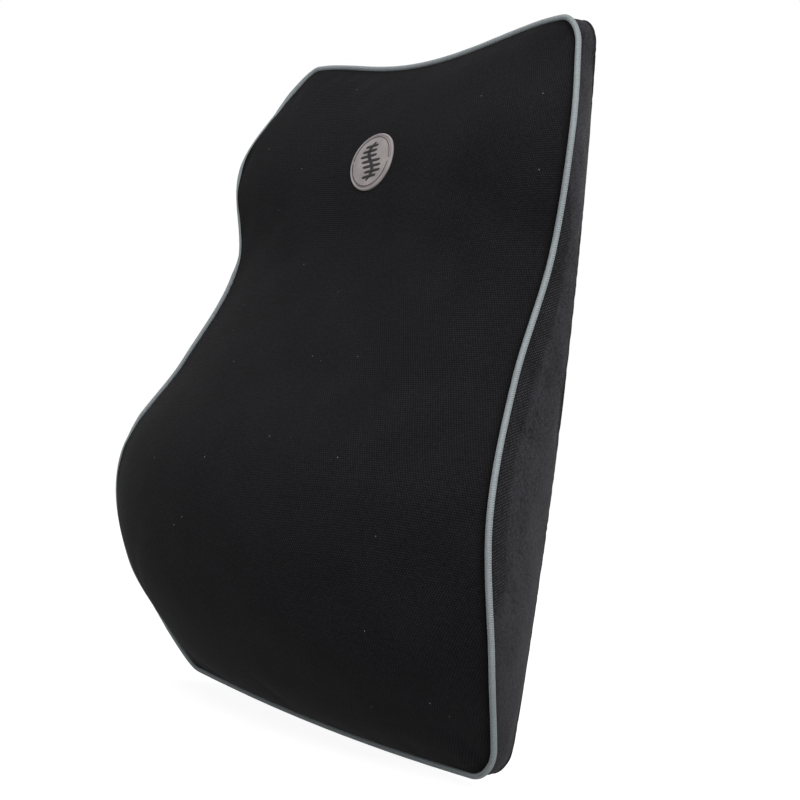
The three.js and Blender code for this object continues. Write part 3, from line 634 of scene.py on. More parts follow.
class Wardrobe:
    """Every finish on the cushion, by its slot's name."""

    def __init__(self) -> None:
        """Builds the materials."""
        cloth = Coordinates.CLOTH
        finishes = (
            MeshCloth("mesh_fabric", (0.0094, 0.0092, 0.0108), roughness=0.92, sheen=0.02, specular=0.1,
                      follows=cloth),
            BandCloth("gusset_fabric", (0.0220, 0.0209, 0.0258), sheen=0.05, specular=0.12, follows=cloth,
                      lint=0.35, lint_colour=(0.16, 0.16, 0.17, 1.0)),
            MeshCloth("back_fabric", (0.0120, 0.0120, 0.0130), roughness=0.92, sheen=0.03, specular=0.1,
                      follows=cloth, pitch=2.0, lint=0.2),
            WovenCloth("piping_fabric", (0.255, 0.284, 0.296), roughness=0.7, sheen=0.08, specular=0.25,
                       follows=cloth, across=1.3, along=2.4, slant=0.3, depth=0.3, mottling=0.25,
                       contrast=0.45),
            GrainedSkin("badge_leather", (0.34, 0.305, 0.305), roughness=0.6, size=0.45, depth=0.06),
            GrainedSkin("emblem_print", (0.035, 0.032, 0.034), roughness=0.6, size=0.4, depth=0.03),
            WovenCloth("zip_tape", (0.014, 0.014, 0.015), sheen=0.1, specular=0.25, across=0.5, along=0.7,
                       depth=0.1, turned=True),
            GrainedSkin("zip_coil", (0.020, 0.020, 0.021), roughness=0.4, specular=0.5, size=0.8, depth=0.01),
            GrainedSkin("zip_metal", (0.030, 0.030, 0.033), roughness=0.35, specular=0.5, metallic=0.6,
                        size=0.6, depth=0.015),
            WovenCloth("webbing", (0.016, 0.016, 0.0175), roughness=0.85, sheen=0.15, across=0.8, along=1.3,
                       depth=0.22, contrast=0.5, turned=True),
            WovenCloth("thread", (0.020, 0.020, 0.022), roughness=0.7, sheen=0.1, specular=0.4, across=0.3,
                       along=0.3, slant=1.0, depth=0.05),
            GrainedSkin("buckle_plastic", (0.016, 0.016, 0.017), roughness=0.42, specular=0.5, size=0.35,
                        depth=0.02),
            WovenCloth("label_tape", (0.62, 0.62, 0.60), roughness=0.6, sheen=0.2, specular=0.4, across=0.35,
                       along=0.35, depth=0.05, mottling=0.08, contrast=0.06),
        )
        patterns = Patterns()
        self.materials = {finish.name: finish.make(patterns) for finish in finishes}

    def dress(self, piece: bpy.types.Object, slot: str) -> None:
        """Gives a piece its finish, the material that bears the slot's name.

        Args:
            piece: the object.
            slot: the slot's name.
        """
        piece.data.materials.clear()
        piece.data.materials.append(self.materials[slot])

    def complete(self, piece: bpy.types.Object, slot: str, *nodes: str, body: str = BODY,
                 fill: float = 0.0) -> bpy.types.Object:
        """Dresses a piece, hides the frame's nodes that it stands for and parents it to the body that it
        rides on.

        Args:
            piece: the object.
            slot: the slot's name.
            nodes: the frame's nodes that it replaces.
            body: the body that it rides on.
            fill: how full it is, where it is padded; not used.

        Returns:
            The piece.
        """
        self.dress(piece, slot)
        if nodes:
            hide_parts(*nodes)
        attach(piece, body)
        return piece


# ---------------------------------------------------------------- the cushion's shape
@dataclass(frozen=True)
class Station:
    """The front seam's profile at one height."""

    inset: float
    seam_depth: float
    crown: float
    left_swell: float = 0.0


@dataclass(frozen=True)
class CushionShape:
    """Where the padded face, the seam, the sides and the flat back lie.

    Heights in this class are above the bottom edge. Points come out in the frame's own place.
    """

    base: float
    height: float = 0.450
    width: float = 0.382
    back_base: float = 0.3041
    back_top: float = 0.2682
    side_bow: float = 0.008
    corner: float = 0.020
    slack_corner: float = 0.029
    stations: tuple = (
        Station(0.034, 0.018, 0.037),
        Station(0.004, 0.066, 0.048),
        Station(0.002, 0.086, 0.042),
        Station(0.023, 0.061, 0.028, -0.0015),
        Station(0.032, 0.037, 0.019, -0.0025),
        Station(0.030, 0.038, 0.010, 0.0028),
        Station(0.057, 0.016, 0.008, 0.0030),
    )
    dome_low: float = 2.7
    dome_high: float = 7.0
    dome_height: float = 0.333
    dome_span: float = 0.018
    base_rounding: float = 0.032
    top_rounding: float = 0.022
    base_bow: float = 0.006
    top_dip: float = 0.012
    top_rise: float = 0.012
    back_dip: float = 0.005
    back_rise: float = 0.0075
    back_drop: float = 0.002
    gusset_bulge: float = 0.055
    rolls: tuple = ((0.032, 0.168), (0.300, 0.425))
    roll_fade: float = 0.016
    tuck_from: float = 0.9
    tuck_fade: float = 0.08
    tuck_back: float = 0.7
    swell_power: float = 2.5

    def along(self, key: str, z: float) -> float:
        """A station value between the stations, on a smooth curve.

        Args:
            key: the value's name.
            z: the height.

        Returns:
            The value there.
        """
        values = [getattr(station, key) for station in self.stations]
        last = len(values) - 1
        place = last * min(1.0, max(0.0, z / self.height))
        first = min(int(place), last)
        share = place - first
        before, here = values[max(first - 1, 0)], values[first]
        after, beyond = values[min(first + 1, last)], values[min(first + 2, last)]
        leave, arrive = (after - before) / 2, (beyond - here) / 2
        cubic = 2 * here - 2 * after + leave + arrive
        square = -3 * here + 3 * after - 2 * leave - arrive
        return ((cubic * share + square) * share + leave) * share + here

    def back_half(self, z: float) -> float:
        """Half the width of the flat back at a height."""
        share = z / self.height
        straight = self.back_base + (self.back_top - self.back_base) * share
        return straight / 2 + self.side_bow * 4 * share * (1 - share)

    def bottom_edge(self, across: float) -> float:
        """The height of the bottom edge, from -1 at one side to 1 at the other."""
        return self.base_bow * across**2

    def top_edge(self, across: float, dip: float, rise: float) -> float:
        """The height of the top edge, which dips between two raised corners."""
        middle = 1 - across**2
        return self.height + rise * middle - (dip + rise) * middle**2

    def back_top_edge(self, across: float) -> float:
        """The height of the flat back's top edge."""
        return self.top_edge(across, self.back_dip, 0.0) + self.back_rise * across**2

    def back_bottom_edge(self, across: float) -> float:
        """The height of the flat back's bottom edge."""
        return self.bottom_edge(across) - self.back_drop * across**2

    def corner_radius(self, across: float, up: float) -> float:
        """The radius of the corner in a direction: the filling is slack in the upper left one."""
        return self.slack_corner if across < 0 < up else self.corner

    def rounded(self, across: float, up: float, half_high: float) -> float:
        """How far towards the square's edge the rounded outline lies in a direction.

        Args:
            across: the direction, with the larger of the two at 1.
            up: the same, upwards.
            half_high: half the height of what is rounded.

        Returns:
            A share, 1 except near the corners.
        """
        radius = self.corner_radius(across, up)
        corner_across, corner_up = radius / (self.width / 2), radius / half_high
        u, v = abs(across), abs(up)
        if u <= 1 - corner_across or v <= 1 - corner_up:
            return 1.0
        p, q = u / corner_across, v / corner_up
        r, s = (1 - corner_across) / corner_across, (1 - corner_up) / corner_up
        half, total = p * r + q * s, p * p + q * q
        return (half + math.sqrt(max(0.0, half * half - total * (r * r + s * s - 1)))) / total

    @staticmethod
    def rounding(distance: float, reach: float) -> float:
        """A quarter-round rise from 0 at an edge to 1 at a distance from it."""
        share = min(1.0, max(0.0, distance / reach))
        return math.sqrt(1 - (1 - share) ** 2)

    def face(self, across: float, up: float, ring: float = 1.0) -> Vector:
        """A point on the padded face.

        Args:
            across: the outline point's place across, from -1 to 1.
            up: the outline point's place upwards, from -1 to 1.
            ring: 1 on the seam and 0 in the middle.

        Returns:
            The point.
        """
        s = across * ring
        share = (up * ring + 1) / 2
        low, high = self.bottom_edge(s), self.top_edge(s, self.top_dip, self.top_rise)
        z = low + (high - low) * share
        square = ring / max(abs(across), abs(up), 1e-9)
        flatness = 1 / (1 + math.exp((self.dome_height - z) / self.dome_span))
        power = self.dome_low + (self.dome_high - self.dome_low) * flatness
        sideways = 1 - min(1.0, abs(across * square)) ** power
        from_base = (up * square + 1) / 2 * self.height
        at_base = self.rounding(from_base, self.base_rounding)
        at_top = self.rounding(self.height - from_base, self.top_rounding)
        depth = self.along("seam_depth", z) + self.along("crown", z) * sideways * at_base * at_top
        half = self.width / 2 - self.along("inset", z)
        swell = self.along("left_swell", z) * max(0.0, -s) ** self.swell_power
        return Vector((s * half - swell, -depth - swell, z + self.base))

    def face_at(self, a: float, b: float) -> Vector:
        """The padded face at a place on a square from -1 to 1 each way."""
        ring = max(abs(a), abs(b))
        if ring < 1e-9:
            return self.face(0.0, 0.0, 0.0)
        out = self.rounded(a / ring, b / ring, self.height / 2)
        return self.face(a / ring * out, b / ring * out, ring)

    def rear(self, across: float, up: float) -> Vector:
        """The flat back's edge at a place on the outline."""
        low, high = self.back_bottom_edge(across), self.back_top_edge(across)
        z = low + (high - low) * (up + 1) / 2
        return Vector((across * self.back_half(z), 0.0, z + self.base))

    def outline(self, turn: float) -> tuple:
        """A point on the rounded outline, anticlockwise from the middle of the bottom.

        Args:
            turn: how far round, from 0 to 1.

        Returns:
            Its place across and up, from -1 to 1.
        """
        half_wide, half_high = self.width / 2, self.height / 2
        corners = [(side, self.corner_radius(*side)) for side in ((1, -1), (1, 1), (-1, 1), (-1, -1))]
        quarter = math.pi / 2
        whole = 4 * (half_wide + half_high) + sum(radius for _, radius in corners) * (quarter - 2)
        left = (turn % 1.0) * whole
        across, up, heading = 0.0, -half_high, 0.0
        for (side_across, side_up), radius in corners:
            middle_across = side_across * (half_wide - radius)
            middle_up = side_up * (half_high - radius)
            run = abs(middle_across - across) if side_across * side_up < 0 else abs(middle_up - up)
            if left <= run:
                break
            left -= run
            if left <= radius * quarter:
                angle = heading - quarter + left / radius
                across = middle_across + math.cos(angle) * radius
                up = middle_up + math.sin(angle) * radius
                return across / half_wide, up / half_high
            left -= radius * quarter
            across = middle_across + math.cos(heading) * radius
            up = middle_up + math.sin(heading) * radius
            heading += quarter
        across += math.cos(heading) * left
        up += math.sin(heading) * left
        return across / half_wide, up / half_high

    def seam(self, turn: float) -> Vector:
        """The front seam at a place round the outline."""
        return self.face(*self.outline(turn))

    def rear_edge(self, turn: float) -> Vector:
        """The rear edge at a place round the outline."""
        return self.rear(*self.outline(turn))

    def tangent(self, turn: float) -> Vector:
        """The way the seam runs at a place round the outline."""
        step = 0.002
        return (self.seam(turn + step) - self.seam(turn - step)).normalized()

    def band(self, turn: float, share: float) -> Vector:
        """A point on the side band, from the seam at share 0 to the rear edge at 1."""
        front, back = self.seam(turn), self.rear_edge(turn)
        out = (back - front).cross(self.tangent(turn)).normalized()
        swell = self.gusset_bulge * (back - front).length * 4 * share * (1 - share)
        return front.lerp(back, share) + out * swell

    def piping_frame(self, turn: float, lift: float, tuck: float) -> tuple:
        """The piping's centre and section axes at a place round the outline.

        Args:
            turn: how far round.
            lift: how far the centre stands out of the seam.
            tuck: how much deeper, and further back, it lies where the face rolls over it.

        Returns:
            The centre, the outward axis and the sideways axis.
        """
        across, up = self.outline(turn)
        point = self.face(across, up)
        along = self.tangent(turn)
        back = (self.rear(across, up) - point).normalized()
        out = (point - self.face(across, up, 0.97)).normalized() - back
        out = (out - along * out.dot(along)).normalized()
        hidden = tuck * self.tucked_in(across, up)
        return point + out * (lift - hidden) + back * hidden * self.tuck_back, out, along.cross(out)

    def tucked_in(self, across: float, up: float) -> float:
        """How far the filling rolls the face over the piping, which it does on the left side."""
        level = (up + 1) / 2 * self.height
        total = 0.0
        for low, high in self.rolls:
            inside = min(level - low, high - level) / self.roll_fade
            total += min(1.0, max(0.0, inside + 0.5))
        return total * min(1.0, max(0.0, (-across - self.tuck_from) / self.tuck_fade))


# ---------------------------------------------------------------- making meshes
def new_piece(name: str, bm: bmesh.types.BMesh, smooth: bool = True) -> bpy.types.Object:
    """Turns a bmesh into an object in the scene.

    Args:
        name: the piece's name.
        bm: its mesh, which is freed.
        smooth: whether its faces are shaded smooth.

    Returns:
        The object.
    """
    mesh = bpy.data.meshes.new(name)
    bm.to_mesh(mesh)
    bm.free()
    piece = bpy.data.objects.new(name, mesh)
    bpy.context.scene.collection.objects.link(piece)
    mesh.polygons.foreach_set("use_smooth", [smooth] * len(mesh.polygons))
    return piece


def from_middle(points: Sequence[Vector]) -> list:
    """Measures along a row of points.

    Args:
        points: the row.

    Returns:
        How far each point lies from the middle one.
    """
    run = [0.0]
    for first, second in zip(points, points[1:]):
        run.append(run[-1] + (second - first).length)
    middle = run[(len(points) - 1) // 2]
    return [distance - middle for distance in run]


def cloth_grid(
    columns: int, rows: int, place: Place, outward: Outward, weld: bool = False
) -> bmesh.types.BMesh:
    """A grid laid on a surface, with a cloth map in metres.

    Args:
        columns: how many faces across.
        rows: how many faces up.
        place: gives the surface point for a place from -1 to 1 each way.
        outward: gives the outward direction at a point, near enough.
        weld: whether edges that meet are joined.

    Returns:
        The mesh.
    """
    bm = bmesh.new()
    layer = bm.loops.layers.uv.new(CLOTH_MAP)
    bmesh.ops.create_grid(bm, x_segments=columns, y_segments=rows, size=1.0)
    spots = {}
    for vert in bm.verts:
        spots[vert] = (round((vert.co.x + 1) / 2 * columns), round((vert.co.y + 1) / 2 * rows))
    points = {(i, j): place(i / columns * 2 - 1, j / rows * 2 - 1) for i, j in spots.values()}
    lengths = [from_middle([points[i, j] for i in range(columns + 1)]) for j in range(rows + 1)]
    rises = [from_middle([points[i, j] for j in range(rows + 1)]) for i in range(columns + 1)]
    for face in bm.faces:
        for loop in face.loops:
            i, j = spots[loop.vert]
            loop[layer].uv = (lengths[j][i], rises[i][j])
    for vert, spot in spots.items():
        vert.co = points[spot]
    if weld:
        bmesh.ops.remove_doubles(bm, verts=bm.verts, dist=1e-6)
    bm.normal_update()
    if sum(face.normal.dot(outward(face.calc_center_median())) for face in bm.faces) < 0:
        bmesh.ops.reverse_faces(bm, faces=list(bm.faces))
    bm.normal_update()
    return bm


def towards_back(_: Vector) -> Vector:
    """The outward direction of what lies on the back."""
    return Vector((0, 1, 0))


def close_up(bm: bmesh.types.BMesh) -> None:
    """Fills a mesh's open ends and turns its faces outwards."""
    bmesh.ops.holes_fill(bm, edges=[edge for edge in bm.edges if edge.is_boundary], sides=0)
    bmesh.ops.recalc_face_normals(bm, faces=bm.faces)


def bake_modifiers(piece: bpy.types.Object) -> None:
    """Makes a piece's modifiers part of its mesh.

    Args:
        piece: the object.
    """
    graph = bpy.context.evaluated_depsgraph_get()
    mesh = bpy.data.meshes.new_from_object(piece.evaluated_get(graph), depsgraph=graph)
    piece.modifiers.clear()
    piece.data = mesh


def subdivide(piece: bpy.types.Object) -> None:
    """Smooths a piece by splitting each face once."""
    modifier = piece.modifiers.new("smooth", "SUBSURF")
    modifier.levels = modifier.render_levels = 1
    bake_modifiers(piece)


def thicken(piece: bpy.types.Object, thickness: float) -> None:
    """Gives a sheet its thickness, on the side away from its normals.

    Args:
        piece: the object.
        thickness: in metres.
    """
    modifier = piece.modifiers.new("thickness", "SOLIDIFY")
    modifier.thickness = thickness
    modifier.offset = -1.0
    bake_modifiers(piece)
    piece.data.polygons.foreach_set("use_smooth", [True] * len(piece.data.polygons))


class SeamLine:
    """A sewn line, and how the cloth beside it dives and puckers."""

    BUMPS_PER_METRE = 95.0

    def __init__(
        self, points: Sequence[Vector], roll: float, pucker: float, reach: float = 0.012, seed: float = 0.0
    ) -> None:
        """Readies the line.

        Args:
            points: the line's points, close together.
            roll: how far from the line the cloth starts to dive, and how deep it goes.
            pucker: the height of the puckers at the line.
            reach: how far from the line the puckers die out.
            seed: shifts the puckers.
        """
        self.roll, self.pucker, self.reach, self.seed = roll, pucker, reach, seed
        self.tree = kdtree.KDTree(len(points))
        for number, point in enumerate(points):
            self.tree.insert(point, number)
        self.tree.balance()

    def sew(self, piece: bpy.types.Object) -> None:
        """Shapes a piece's cloth beside the line.

        Args:
            piece: the object.
        """
        mesh = piece.data
        moves = []
        for vert in mesh.vertices:
            found, _, distance = self.tree.find(vert.co)
            lift = 0.0
            if distance < self.roll:
                lift -= self.roll * (1 - math.sqrt(1 - (1 - distance / self.roll) ** 2))
            if distance < 4 * self.reach:
                along = noise.noise(found * self.BUMPS_PER_METRE + Vector((self.seed, 0.0, 0.0)))
                fade = math.exp(-distance / self.reach) * min(1.0, distance / (0.4 * self.reach))
                lift += self.pucker * along * 2 * fade
            moves.append(vert.normal * lift)
        for vert, move in zip(mesh.vertices, moves):
            vert.co += move
        mesh.update()


def mark_points(piece: bpy.types.Object, name: str, values: Sequence[float]) -> None:
    """Gives every point of a piece a value that its finish reads."""
    made = piece.data.attributes.new(name, "FLOAT", "POINT")
    made.data.foreach_set("value", values)


def mark_painted_seam_shade(piece: bpy.types.Object, seams: Sequence[SeamLine], reach: float) -> None:
    """Marks how near a piece's points are to its seams, where painted shade darkens the cloth.

    Args:
        piece: the piece.
        seams: its seams.
        reach: how wide the painted shade is.
    """
    values = []
    for vert in piece.data.vertices:
        near = min(seam.tree.find(vert.co)[2] for seam in seams)
        values.append(math.exp(-((near / reach) ** 2)))
    mark_points(piece, PAINTED_SEAM_SHADE, values)


@dataclass(frozen=True)
class Padding:
    """How the padding pushes a panel out between its seams, settled as cloth under pressure."""

    start_inside: float
    cap: float
    pressure: float = 3.0
    slack: float = 0.012
    frames: int = 20
    fade: float = 0.030

    def settle(self, piece: bpy.types.Object, seam: SeamLine) -> None:
        """Starts a panel inside its own shape, runs the cloth and keeps the result in the mesh.

        Args:
            piece: the panel, whose border is sewn down.
            seam: the seam from which the panel swells.
        """
        mesh = piece.data
        border = self._border(mesh)
        normals = [vert.normal.copy() for vert in mesh.vertices]
        for vert, normal in zip(mesh.vertices, normals):
            fade = 0.0 if vert.index in border else min(1.0, seam.tree.find(vert.co)[2] / self.fade)
            vert.co -= normal * self.start_inside * fade * (2 - fade)
        mesh.update()
        rest = [vert.co.copy() for vert in mesh.vertices]
        pins = piece.vertex_groups.new(name="sewn")
        pins.add(sorted(border), 1.0, "REPLACE")
        settled = self._run_cloth(piece, pins.name)
        sizes = []
        for vert, point, target in zip(mesh.vertices, rest, settled):
            move = target - point
            size = move.length
            sizes.append(size)
            vert.co = point + move * (self.cap / (self.cap + size)) if size > 0 else point
        mesh.update()
        sizes.sort()
        log.info("%s swelled by %.1f mm at its middle point", piece.name, sizes[len(sizes) // 2] / MM)

    def _run_cloth(self, piece: bpy.types.Object, pins: str) -> list:
        """Blows the panel up for a few frames.

        Args:
            piece: the panel.
            pins: the name of the group that is held still.

        Returns:
            Where its points end.
        """
        modifier = piece.modifiers.new("cloth", "CLOTH")
        settings = modifier.settings
        settings.quality = 6
        settings.mass = 0.25
        settings.tension_stiffness = settings.compression_stiffness = 20.0
        settings.shear_stiffness = 8.0
        settings.bending_stiffness = 1.2
        settings.tension_damping = settings.compression_damping = 20.0
        settings.air_damping = 6.0
        settings.shrink_min = -self.slack
        settings.use_pressure = True
        settings.uniform_pressure_force = self.pressure
        settings.vertex_group_mass = pins
        settings.effector_weights.gravity = 0.0
        modifier.collision_settings.use_collision = False
        modifier.point_cache.frame_start = 1
        modifier.point_cache.frame_end = self.frames
        scene = bpy.context.scene
        for frame in range(1, self.frames + 1):
            scene.frame_set(frame)
        graph = bpy.context.evaluated_depsgraph_get()
        settled = [vert.co.copy() for vert in piece.evaluated_get(graph).data.vertices]
        piece.modifiers.clear()
        piece.vertex_groups.clear()
        scene.frame_set(1)
        return settled

    @staticmethod
    def _border(mesh: bpy.types.Mesh) -> set:
        """The vertices on a mesh's open edges."""
        bm = bmesh.new()
        bm.from_mesh(mesh)
        border = {vert.index for vert in bm.verts if vert.is_boundary}
        bm.free()
        return border


def shade_by_angle(piece: bpy.types.Object) -> None:
    """Shades a moulded piece smooth, but for its sharp edges."""
    piece.data.set_sharp_from_angle(angle=math.radians(40))


def softened_copy(
    node: str, name: str, width: float, segments: int = 2, sharp: float = 35.0
) -> bpy.types.Object:
    """A copy of a moulded node with its edges rounded.

    Args:
        node: the node's name.
        name: the new piece's name.
        width: how wide each rounded edge is.
        segments: how many faces go round it.
        sharp: the angle in degrees from which an edge is rounded.

    Returns:
        The new piece, which replaces the node.
    """
    bm = bmesh.new()
    bm.from_mesh(bpy.data.objects[node].data)
    bmesh.ops.remove_doubles(bm, verts=bm.verts, dist=2e-6)
    bmesh.ops.dissolve_limit(bm, angle_limit=math.radians(1.0), verts=bm.verts, edges=bm.edges)
    bm.normal_update()
    closed = [edge for edge in bm.edges if len(edge.link_faces) == 2]
    corners = [edge for edge in closed if edge.calc_face_angle(0.0) > math.radians(sharp)]
    bmesh.ops.bevel(bm, geom=corners, offset=width, offset_type="OFFSET", affect="EDGES", segments=segments,
                    profile=0.5, material=-1, clamp_overlap=True)
    bmesh.ops.recalc_face_normals(bm, faces=bm.faces)
    piece = new_piece(name, bm)
    shade_by_angle(piece)
    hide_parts(node)
    return piece


def add_stitches(bm: bmesh.types.BMesh, starts: Iterable[Vector], length: float, radius: float) -> None:
    """Adds a row of stitches along X.

    Args:
        bm: the mesh to add to.
        starts: where each stitch starts.
        length: how long each is.
        radius: the thread's radius.
    """
    add_threads(bm, [(start, start + Vector((length, 0.0, 0.0))) for start in starts], radius)


def add_threads(bm: bmesh.types.BMesh, ends: Iterable[tuple], radius: float) -> None:
    """Adds thread stitches, each a small spindle between two points.

    Args:
        bm: the mesh to add to.
        ends: each stitch's two ends.
        radius: the thread's radius.
    """
    for start, end in ends:
        way = end - start
        turn = Vector((0, 0, 1)).rotation_difference(way).to_matrix().to_4x4()
        size = Matrix.Diagonal((radius, radius, way.length / 2, 1.0))
        place = Matrix.Translation((start + end) / 2) @ turn @ size
        bmesh.ops.create_uvsphere(bm, u_segments=6, v_segments=5, radius=1.0, matrix=place)


def zip_gap() -> tuple:
    """The heights of the lower and the upper back panel's edges at the zip."""
    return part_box("back_panel_lower")[1].z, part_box("back_panel_upper")[0].z


# ---------------------------------------------------------------- the padded cover
def dense_ends(value: float, share: float = 0.42) -> float:
    """Moves places from -1 to 1 closer together towards both ends."""
    return value * (1 + share) - share * value**3


@dataclass
class FrontCover:
    """The domed mesh face, sewn down all round under the piping."""

    shape: CushionShape
    wardrobe: Wardrobe
    columns: int = 66
    rows: int = 78
    thickness: float = 0.0016
    padding: Padding = Padding(start_inside=0.0024, cap=0.0034, slack=0.004)
    # How wide the painted shade beside the front seam is.
    painted_seam_shade: float = 0.0040

    def build(self, seam: SeamLine) -> bpy.types.Object:
        """Builds, settles and finishes the face.

        Args:
            seam: the front seam.

        Returns:
            The piece.
        """
        def place(a: float, b: float) -> Vector:
            """The face, with its rows closer together beside the seam."""
            return self.shape.face_at(dense_ends(a), dense_ends(b))

        def outward(_: Vector) -> Vector:
            """Forwards."""
            return Vector((0, -1, 0))

        piece = new_piece("front_cover", cloth_grid(self.columns, self.rows, place, outward))
        self.padding.settle(piece, seam)
        subdivide(piece)
        seam.sew(piece)
        mark_painted_seam_shade(piece, [seam], self.painted_seam_shade)
        thicken(piece, self.thickness)
        nodes = ("front_panel", "foam_core", "inner_liner")
        return self.wardrobe.complete(piece, "mesh_fabric", *nodes, fill=0.9)


@dataclass
class SideBand:
    """The smooth band round the sides, top and bottom."""

    shape: CushionShape
    wardrobe: Wardrobe
    columns: int = 320
    rows: int = 12
    thickness: float = 0.0016
    padding: Padding = Padding(start_inside=0.0008, cap=0.0016, slack=0.004)
    # How wide the painted shade beside the front and rear seams is.
    painted_seam_shade: float = 0.0032
    mesh_fade: float = 0.07
    mesh_widths: tuple = (
        (0.085, -0.1),
        (0.115, 0.21),
        (0.190, 0.21),
        (0.225, 0.32),
        (0.285, 0.44),
        (0.320, 0.44),
        (0.365, -0.1),
    )

    def build(self, seam: SeamLine, rear_seam: SeamLine) -> bpy.types.Object:
        """Builds, settles and finishes the band.

        Args:
            seam: the front seam.
            rear_seam: the seam at the back's edge.

        Returns:
            The piece.
        """
        middle = self.shape.base + self.shape.height / 2

        def place(a: float, b: float) -> Vector:
            """The band, with its rows closer together beside its seams."""
            return self.shape.band((a + 1) / 2, (dense_ends(b, 0.35) + 1) / 2)

        def outward(point: Vector) -> Vector:
            """Away from the cushion's long axis."""
            return Vector((point.x, 0, point.z - middle))

        piece = new_piece("side_band", cloth_grid(self.columns, self.rows, place, outward, weld=True))
        self.padding.settle(piece, seam)
        subdivide(piece)
        self.mark_mesh_zone(piece, seam, rear_seam)
        seam.sew(piece)
        rear_seam.sew(piece)
        mark_painted_seam_shade(piece, [seam, rear_seam], self.painted_seam_shade)
        thicken(piece, self.thickness)
        return self.wardrobe.complete(piece, "gusset_fabric", "side_gusset", fill=0.8)

    def mark_mesh_zone(self, piece: bpy.types.Object, seam: SeamLine, rear_seam: SeamLine) -> None:
        """Marks where the band is open mesh: a lens behind the piping on both sides.

        Args:
            piece: the band.
            seam: the front seam.
            rear_seam: the seam at the back's edge.
        """
        values = []
        heights = [height for height, _ in self.mesh_widths]
        for vert in piece.data.vertices:
            front, rear = seam.tree.find(vert.co)[2], rear_seam.tree.find(vert.co)[2]
            share = front / max(1e-9, front + rear)
            level = vert.co.z - self.shape.base
            number = sum(1 for height in heights if height < level)
            edge = 0.0
            if 0 < number < len(heights):
                (low, first), (high, second) = self.mesh_widths[number - 1], self.mesh_widths[number]
                edge = first + (second - first) * (level - low) / (high - low)
            values.append(min(1.0, max(0.0, (edge - share) / self.mesh_fade + 0.5)))
        mark_points(piece, MESH_ZONE, values)


@dataclass
class BackCover:
    """The flat back: an upper and a lower panel that meet at the zip."""

    shape: CushionShape
    wardrobe: Wardrobe
    columns: int = 110
    thickness: float = 0.0014
    ripple: float = 0.00045
    ripples: float = 14.0
    clearance: float = 0.00005
    fold_roll: float = 0.0016
    fold_steps: int = 400
    stitch_length: float = 0.0026
    stitch_gap: float = 0.0007
    stitch_inset: float = 0.0032
    thread: float = 0.00022

    def panel(self, name: str, node: str, upper: bool, rear_seam: SeamLine) -> bpy.types.Object:
        """Builds one panel.

        Args:
            name: the piece's name.
            node: the solid it stands for.
            upper: whether it is the panel above the zip.
            rear_seam: the seam at the back's edge.

        Returns:
            The piece.
        """
        shape = self.shape
        low_corner, high_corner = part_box(node)
        folded = (low_corner.z if upper else high_corner.z) - shape.base
        half_high = (shape.height - folded if upper else folded) / 2

        def place(a: float, c: float) -> Vector:
            """A point of the panel, whose outer corners are rounded."""
            a, c = dense_ends(a, 0.4), dense_ends(c, 0.4)
            ring = max(abs(a), abs(c), 1e-9)
            outer = c > 0 if upper else c < 0
            out = shape.rounded(a / ring, c / ring, half_high) if outer else 1.0
            s, share = a * out, (c * out + 1) / 2
            low = folded if upper else shape.back_bottom_edge(s)
            high = shape.back_top_edge(s) if upper else folded
            z = low + (high - low) * share
            point = Vector((s * shape.back_half(z), 0.0, z + shape.base))
            dent = self.ripple * (0.5 + noise.noise(point * self.ripples)) * min(1.0, (1 - ring) * 8)
            return point - Vector((0.0, self.clearance + max(0.0, dent), 0.0))

        rows = round(self.columns * half_high / (shape.back_base / 2))
        piece = new_piece(name, cloth_grid(self.columns, rows, place, towards_back))
        rear_seam.sew(piece)
        reach, steps = shape.back_half(folded), self.fold_steps
        fold = [Vector((reach * (2 * i / steps - 1), 0.0, folded + shape.base)) for i in range(steps + 1)]
        SeamLine(fold, roll=self.fold_roll, pucker=0.0).sew(piece)
        thicken(piece, self.thickness)
        return self.wardrobe.complete(piece, "back_fabric", node, fill=0.8)

    def stitches(self) -> bpy.types.Object:
        """Builds the two rows of top-stitching beside the zip.

        Returns:
            The piece.
        """
        bm = bmesh.new()
        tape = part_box("zip_tape_upper")
        pitch = self.stitch_length + self.stitch_gap
        count = int((tape[1].x - tape[0].x) / pitch)
        low, high = zip_gap()
        for z in (low - self.stitch_inset, high + self.stitch_inset):
            starts = [Vector((tape[0].x + i * pitch, 0.0, z)) for i in range(count)]
            add_stitches(bm, starts, self.stitch_length, self.thread)
        return self.wardrobe.complete(new_piece("zip_top_stitching", bm), "thread")

    def build(self, rear_seam: SeamLine) -> list:
        """Builds both panels and their stitching.

        Args:
            rear_seam: the seam at the back's edge.

        Returns:
            The pieces.
        """
        return [
            self.panel("back_cover_upper", "back_panel_upper", True, rear_seam),
            self.panel("back_cover_lower", "back_panel_lower", False, rear_seam),
            self.stitches(),
        ]


